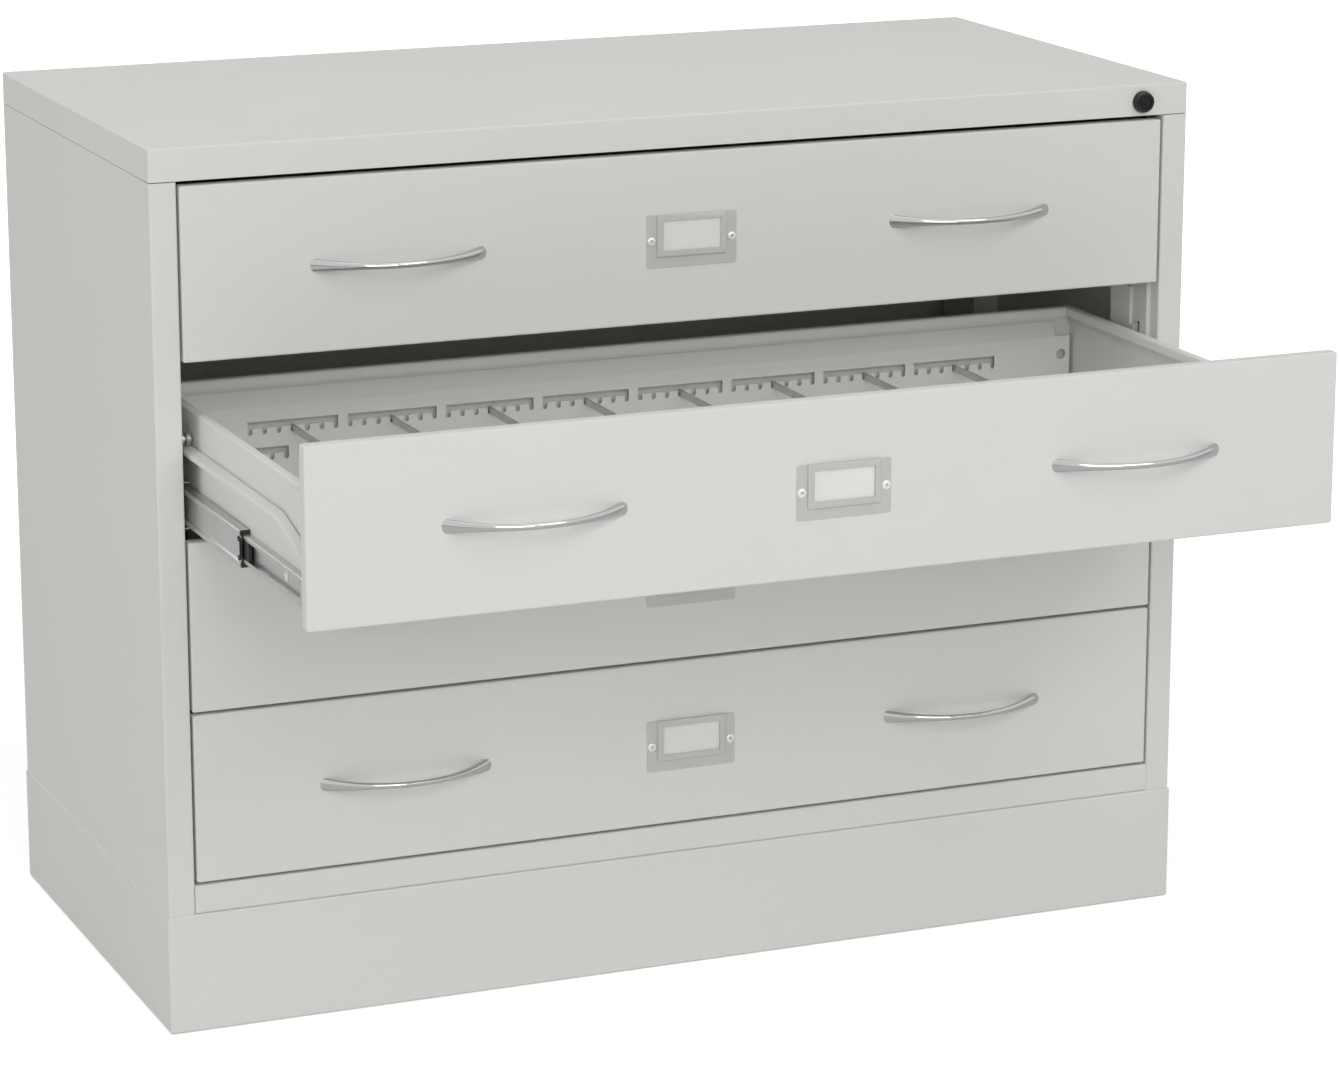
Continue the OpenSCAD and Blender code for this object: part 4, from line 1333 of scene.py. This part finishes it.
        lug = Bench.block(
            "lug",
            (half - self.sunk, lug_y, lug_z),
            (half + self.lug_out, lug_y + self.lug_t, lug_z + self.lug_h),
        )
        Bench.round_edges(lug, lambda c, d: c.x > half + self.lug_out - CLOSE, self.lug_r, 3)
        parts = [side, back, corners, floor, wall, self.ledge(front), self.ear(front, wall_y), lug]
        return Bench.smooth(Bench.join("box_body", parts), 35)


@dataclass
class BowHandle:
    """Bow pull with paddle ends that lie on the front."""

    length: float = 173.0 * MM
    out: float = 33.0 * MM
    end_h: float = 12.6 * MM
    mid_h: float = 5.8 * MM
    end_t: float = 6.4 * MM
    mid_t: float = 5.0 * MM
    foot: float = 2.0 * MM
    overrun: float = 1.06
    rings: int = 33
    sides: int = 20

    def spine(self, t: float) -> tuple[Vector, Vector, float, float]:
        """Follows the bow's middle line.

        Args:
            t: Place along it, -1 at the left foot and 1 at the right one.

        Returns:
            The point, the direction, and half the thickness and height there.
        """
        half = self.length / 2 - self.end_t / 2 - self.foot
        bow = self.out - self.mid_t / 2
        point = Vector((half * t, -bow * (1 - t * t), 0))
        direction = Vector((half, 2 * bow * t, 0)).normalized()
        thick = (self.mid_t + (self.end_t - self.mid_t) * t * t) / 2
        tall = (self.mid_h + (self.end_h - self.mid_h) * abs(t) ** 3) / 2
        return point, direction, thick, tall

    def build(self) -> bpy.types.Object:
        """Returns both handles of the first drawer."""
        low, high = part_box("drawer_1_handles")
        centre = Vector((HANDLE_X, high.y, (low.z + high.z) / 2))
        Bench.clear()
        bpy.ops.mesh.primitive_circle_add(
            vertices=self.sides, radius=1.0, fill_type="NGON", location=(0, 0, 0)
        )
        obj = Bench.named("bow")
        bpy.ops.object.mode_set(mode="EDIT")
        bpy.ops.mesh.select_mode(type="FACE")
        bpy.ops.mesh.select_all(action="SELECT")
        point, direction, thick, tall = self.spine(-self.overrun)
        mesh = bmesh.from_edit_mesh(obj.data)
        across = Vector((-direction.y, direction.x, 0))
        for vert in mesh.verts:
            vert.co = centre + point + across * (vert.co.x * thick) + Vector((0, 0, vert.co.y * tall))
        bmesh.update_edit_mesh(obj.data)
        last = (point, direction, thick, tall)
        for k in range(1, self.rings):
            new = self.spine(self.overrun * (2 * k / (self.rings - 1) - 1))
            bpy.ops.mesh.extrude_region_move(TRANSFORM_OT_translate={"value": new[0] - last[0]})
            hub = centre + new[0]
            turn = math.atan2(new[1].y, new[1].x) - math.atan2(last[1].y, last[1].x)
            bpy.ops.transform.rotate(value=-turn, orient_axis="Z", center_override=hub)
            grow = new[2] / last[2]
            bpy.ops.transform.resize(value=(grow, grow, new[3] / last[3]), center_override=hub)
            last = new
        Bench.done()
        Bench.outward(obj)
        Bench.focus(obj)
        bpy.ops.object.mode_set(mode="EDIT")
        bpy.ops.mesh.select_all(action="SELECT")
        bpy.ops.mesh.bisect(
            plane_co=(0, centre.y, 0), plane_no=(0, 1, 0), use_fill=True, clear_outer=True, threshold=CLOSE
        )
        Bench.done()
        Bench.outward(obj)
        Bench.mirror(obj)
        return Bench.smooth(obj, 60)


@dataclass
class LabelHolder:
    """Pressed label holder with a raised frame that is open at the top."""

    sheet: float = 0.8 * MM
    frame_w: float = 72.2 * MM
    frame_h: float = 41.3 * MM
    bar: float = 6.3 * MM
    corner: float = 2.6 * MM
    fold: float = 1.4 * MM

    def build(self) -> bpy.types.Object:
        """Returns the label holder of the first drawer."""
        low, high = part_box("drawer_1_label_holder")
        face = high.y - self.sheet
        plate = Bench.block("label_plate", (low.x, face, low.z), high)
        Bench.round_edges(plate, lambda c, d: abs(d.y) > ALIGNED, self.corner, 5)
        Bench.round_edges(plate, lambda c, d: c.y < face + CLOSE and abs(d.y) < 1 - ALIGNED, 0.25 * MM, 2)
        half = self.frame_w / 2
        foot = high.z - self.frame_h
        raised = Bench.block(
            "label_frame", (-half, low.y, foot), (half, high.y - self.sheet / 2, high.z)
        )
        Bench.drop_faces(raised, lambda c, n: n.y > MOSTLY or n.z > MOSTLY)
        Bench.pick_faces(raised, lambda c, n: n.y < -MOSTLY)
        bpy.ops.mesh.inset(thickness=self.bar, use_individual=True, use_boundary=True)
        bpy.ops.mesh.delete(type="FACE")
        Bench.done()

        def is_fold(c: Vector, d: Vector) -> bool:
            """Outer edges of the raised frame, apart from its open top."""
            outer = abs(abs(c.x) - half) < CLOSE or abs(c.z - foot) < CLOSE
            return outer and (c.y < low.y + CLOSE or abs(d.y) > ALIGNED) and c.z < high.z - CLOSE

        Bench.round_edges(raised, is_fold, self.fold, 4)
        Bench.thicken(raised, self.sheet)
        return Bench.smooth(Bench.join("label_holder_set", [plate, raised]), 40)


@dataclass
class Fasteners:
    """Rivets, handle screws and slide screws of a drawer."""

    rivet_r: float = 4.3 * MM
    rivet_in: float = 5.0 * MM
    plate_t: float = 0.8 * MM
    head_r: float = 5.5 * MM
    cross_long: float = 2.4 * MM
    cross_short: float = 0.7 * MM
    web_gap: float = 1.1 * MM
    slide_screws: Point = (95.0 * MM, 409.0 * MM)
    handle_span: float = 157.0 * MM

    def rivet(self, at: Vector) -> bpy.types.Object:
        """Turns a hollow rivet that faces forwards.

        Args:
            at: Middle of its seat.

        Returns:
            The rivet.
        """
        r = self.rivet_r
        return Bench.turned(
            "rivet", at, (0, -1, 0),
            [
                (-0.7 * MM, r * 0.45), (0, r * 0.45), (0, r), (0.7 * MM, r * 0.99), (1.2 * MM, r * 0.88),
                (1.5 * MM, r * 0.7), (1.5 * MM, r * 0.44), (1.3 * MM, r * 0.38), (-0.5 * MM, r * 0.36),
            ],
            24,
        )

    def slide_screw(self, at: Vector) -> bpy.types.Object:
        """Turns a slide screw with a cross recess, its head outwards.

        Args:
            at: Middle of its seat, on the right-hand side.

        Returns:
            The screw and its left twin.
        """
        r = self.head_r
        screw = Bench.turned(
            "slide_screw", at, (1, 0, 0),
            [
                (-3 * MM, 2.7 * MM), (0, 2.7 * MM), (0, r), (0.5 * MM, r), (0.8 * MM, r * 0.9),
                (0.9 * MM, r * 0.72), (1.5 * MM, r * 0.66), (1.8 * MM, r * 0.5), (1.8 * MM, r * 0.2),
            ],
        )
        for dy, dz in ((self.cross_short, self.cross_long), (self.cross_long, self.cross_short)):
            tool = Bench.block(
                "cross", (at.x + 0.3 * MM, at.y - dy, at.z - dz), (at.x + 3 * MM, at.y + dy, at.z + dz)
            )
            Bench.cut(screw, tool)
        Bench.mirror(screw)
        return screw

    def build(self) -> bpy.types.Object:
        """Returns the fasteners of the first drawer."""
        front_low, front_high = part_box("drawer_1_front")
        plate_low, plate_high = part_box("drawer_1_label_holder")
        face = plate_high.y - self.plate_t
        z = (plate_low.z + plate_high.z) / 2
        parts = [self.rivet(Vector((plate_high.x - self.rivet_in, face, z)))]
        Bench.mirror(parts[0])
        for y in self.slide_screws:
            seat = Vector((BOX_HALF + self.web_gap, front_low.y + y, front_low.z + SLIDE_Z))
            parts.append(self.slide_screw(seat))
        handle_z = (front_low.z + front_high.z) / 2
        for x in (HANDLE_X - self.handle_span / 2, HANDLE_X + self.handle_span / 2):
            screw = Bench.turned(
                "handle_screw", (x, front_low.y, handle_z), (0, 1, 0),
                [
                    (0.2 * MM, 2 * MM), (13 * MM, 2 * MM), (13 * MM, 4 * MM),
                    (14.4 * MM, 3.9 * MM), (15.4 * MM, 2.6 * MM),
                ],
                20,
            )
            Bench.mirror(screw)
            parts.append(screw)
        return Bench.smooth(Bench.join("fastener_set", parts), 35)


@dataclass
class DrawerSet:
    """Pieces of the four drawers, each modelled once and copied."""

    def build(self) -> None:
        """Builds, copies and fits the drawers' pieces."""
        patterns = {
            "front": (DrawerFront().build(), POWDER),
            # The box and the slotted plates take the lightened coat, which paints light into the drawer's
            # inside.
            "box": (DrawerBox().build(), DRAWER_POWDER_PAINTED_LIGHT),
            "handles": (BowHandle().build(), CHROME),
            "label_holder": (LabelHolder().build(), SATIN),
            "fasteners": (Fasteners().build(), NICKEL),
        }
        for drawer in DRAWERS:
            shift = shift_of(drawer)
            for part, (pattern, finish) in patterns.items():
                piece = Bench.copy(pattern, f"drawer_{drawer}_{part}_made", shift)
                Fitter.fit(piece, f"drawer_{drawer}", finish, f"drawer_{drawer}_{part}")
            Fitter.dress(f"drawer_{drawer}_slotted_plates", DRAWER_POWDER_PAINTED_LIGHT)
            Fitter.dress(f"drawer_{drawer}_dividers", ZINC)
            Fitter.dress(f"drawer_{drawer}_label_card", CARD)
        for pattern, _ in patterns.values():
            bpy.data.objects.remove(pattern)


@dataclass(frozen=True)
class Lamp:
    """A square soft lamp that faces the object."""

    name: str
    place: tuple[float, float, float]
    aim: tuple[float, float, float]
    size: float
    power: float

    def hang(self) -> None:
        """Hangs the lamp in the scene."""
        data = bpy.data.lights.new(self.name, "AREA")
        data.size = self.size
        data.energy = self.power
        lamp = bpy.data.objects.new(self.name, data)
        bpy.context.scene.collection.objects.link(lamp)
        lamp.location = self.place
        lamp.rotation_euler = (Vector(self.aim) - Vector(self.place)).to_track_quat("-Z", "Y").to_euler()


@dataclass
class Studio:
    """Pale floor, soft lamps, plain world and the camera."""

    lamps: tuple[Lamp, ...] = (
        Lamp("Key", (1.5, -3.4, 3.6), (0, 0, 0.5), 1.8, 34.0),
        Lamp("Left", (-3.9, -0.7, 2.3), (0, 0, 0.5), 2.2, 28.0),
        Lamp("Front", (-0.8, -4.4, 2.3), (0, 0, 0.5), 2.2, 56.0),
        Lamp("Top", (0.0, 0.4, 3.6), (0, 0, 0.5), 2.6, 13.0),
        Lamp("Back", (-1.8, 4.2, 2.4), (0, 0, 0.5), 2.2, 16.0),
    )
    ambient: float = 0.36
    near_glow: float = 0.46
    far_glow: float = 1.0
    near: float = 1.0
    far: float = 2.8
    floor_size: float = 40.0
    floor_z: float = -0.5 * MM
    floor_tone: float = 0.9

    lens: float = 122.15
    place: tuple[float, float, float] = (-1.6641, -3.9990, 1.5183)
    pitch: float = 14.228
    yaw: float = -22.665

    def floor(self) -> None:
        """Lays the floor, which keeps a soft shadow near the object and shows white further away."""
        Bench.clear()
        bpy.ops.mesh.primitive_plane_add(size=self.floor_size, location=(0, 0, self.floor_z))
        floor = Bench.named("studio_floor")
        mat = bpy.data.materials.new("Studio floor")
        mat.use_nodes = True
        tree = mat.node_tree
        shader = tree.nodes["Principled BSDF"]
        shader.inputs["Base Color"].default_value = (*[self.floor_tone] * 3, 1.0)
        shader.inputs["Roughness"].default_value = 0.9
        shader.inputs["Emission Color"].default_value = (1.0, 1.0, 1.0, 1.0)
        where = tree.nodes.new("ShaderNodeTexCoord")
        away = tree.nodes.new("ShaderNodeVectorMath")
        away.operation = "LENGTH"
        level = tree.nodes.new("ShaderNodeMapRange")
        level.inputs["From Min"].default_value = self.near
        level.inputs["From Max"].default_value = self.far
        level.inputs["To Min"].default_value = self.near_glow
        level.inputs["To Max"].default_value = self.far_glow
        path = tree.nodes.new("ShaderNodeLightPath")
        glow = tree.nodes.new("ShaderNodeMath")
        glow.operation = "MULTIPLY"
        tree.links.new(where.outputs["Object"], away.inputs[0])
        tree.links.new(away.outputs["Value"], level.inputs["Value"])
        tree.links.new(path.outputs["Is Camera Ray"], glow.inputs[0])
        tree.links.new(level.outputs["Result"], glow.inputs[1])
        tree.links.new(glow.outputs["Value"], shader.inputs["Emission Strength"])
        floor.data.materials.append(mat)
        floor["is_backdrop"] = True

    def world(self) -> None:
        """Sets a plain world that is white to the camera and soft to the object."""
        world = bpy.data.worlds.new("Studio")
        bpy.context.scene.world = world
        world.use_nodes = True
        tree = world.node_tree
        back = tree.nodes["Background"]
        back.inputs["Color"].default_value = (1.0, 1.0, 1.0, 1.0)
        path = tree.nodes.new("ShaderNodeLightPath")
        seen = tree.nodes.new("ShaderNodeMath")
        seen.operation = "MAXIMUM"
        more = tree.nodes.new("ShaderNodeMath")
        more.operation = "MAXIMUM"
        level = tree.nodes.new("ShaderNodeMapRange")
        level.inputs["To Min"].default_value = self.ambient
        level.inputs["To Max"].default_value = 1.0
        tree.links.new(path.outputs["Is Camera Ray"], seen.inputs[0])
        tree.links.new(path.outputs["Is Glossy Ray"], seen.inputs[1])
        tree.links.new(seen.outputs["Value"], more.inputs[0])
        tree.links.new(path.outputs["Is Transmission Ray"], more.inputs[1])
        tree.links.new(more.outputs["Value"], level.inputs["Value"])
        tree.links.new(level.outputs["Result"], back.inputs["Strength"])

    def camera(self) -> None:
        """Sets the camera where the photograph was taken."""
        data = bpy.data.cameras.new("Camera")
        data.lens = self.lens
        data.sensor_width = 36.0
        data.clip_end = 60.0
        camera = bpy.data.objects.new("Camera", data)
        bpy.context.scene.collection.objects.link(camera)
        camera.location = self.place
        camera.rotation_euler = (math.radians(90 - self.pitch), 0.0, math.radians(self.yaw))
        bpy.context.scene.camera = camera

    def build(self) -> None:
        """Sets up the studio."""
        self.floor()
        self.world()
        for lamp in self.lamps:
            lamp.hang()
        self.camera()
        bpy.context.scene.view_settings.view_transform = "Standard"


def corners() -> list[list[float]]:
    """Returns the shown object's lowest and highest corner as plain lists."""
    return [list(corner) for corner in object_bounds()]


def main() -> None:
    """Builds the cabinet's looks in order."""
    logging.basicConfig(level=logging.INFO, format="%(message)s")
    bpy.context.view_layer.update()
    for builder in (Studio(), Carcass(), LockSet(), Interlock(), SlideSet(), DrawerSet()):
        builder.build()
        log.info("%s is built", type(builder).__name__)


if __name__ == "__main__":
    main()
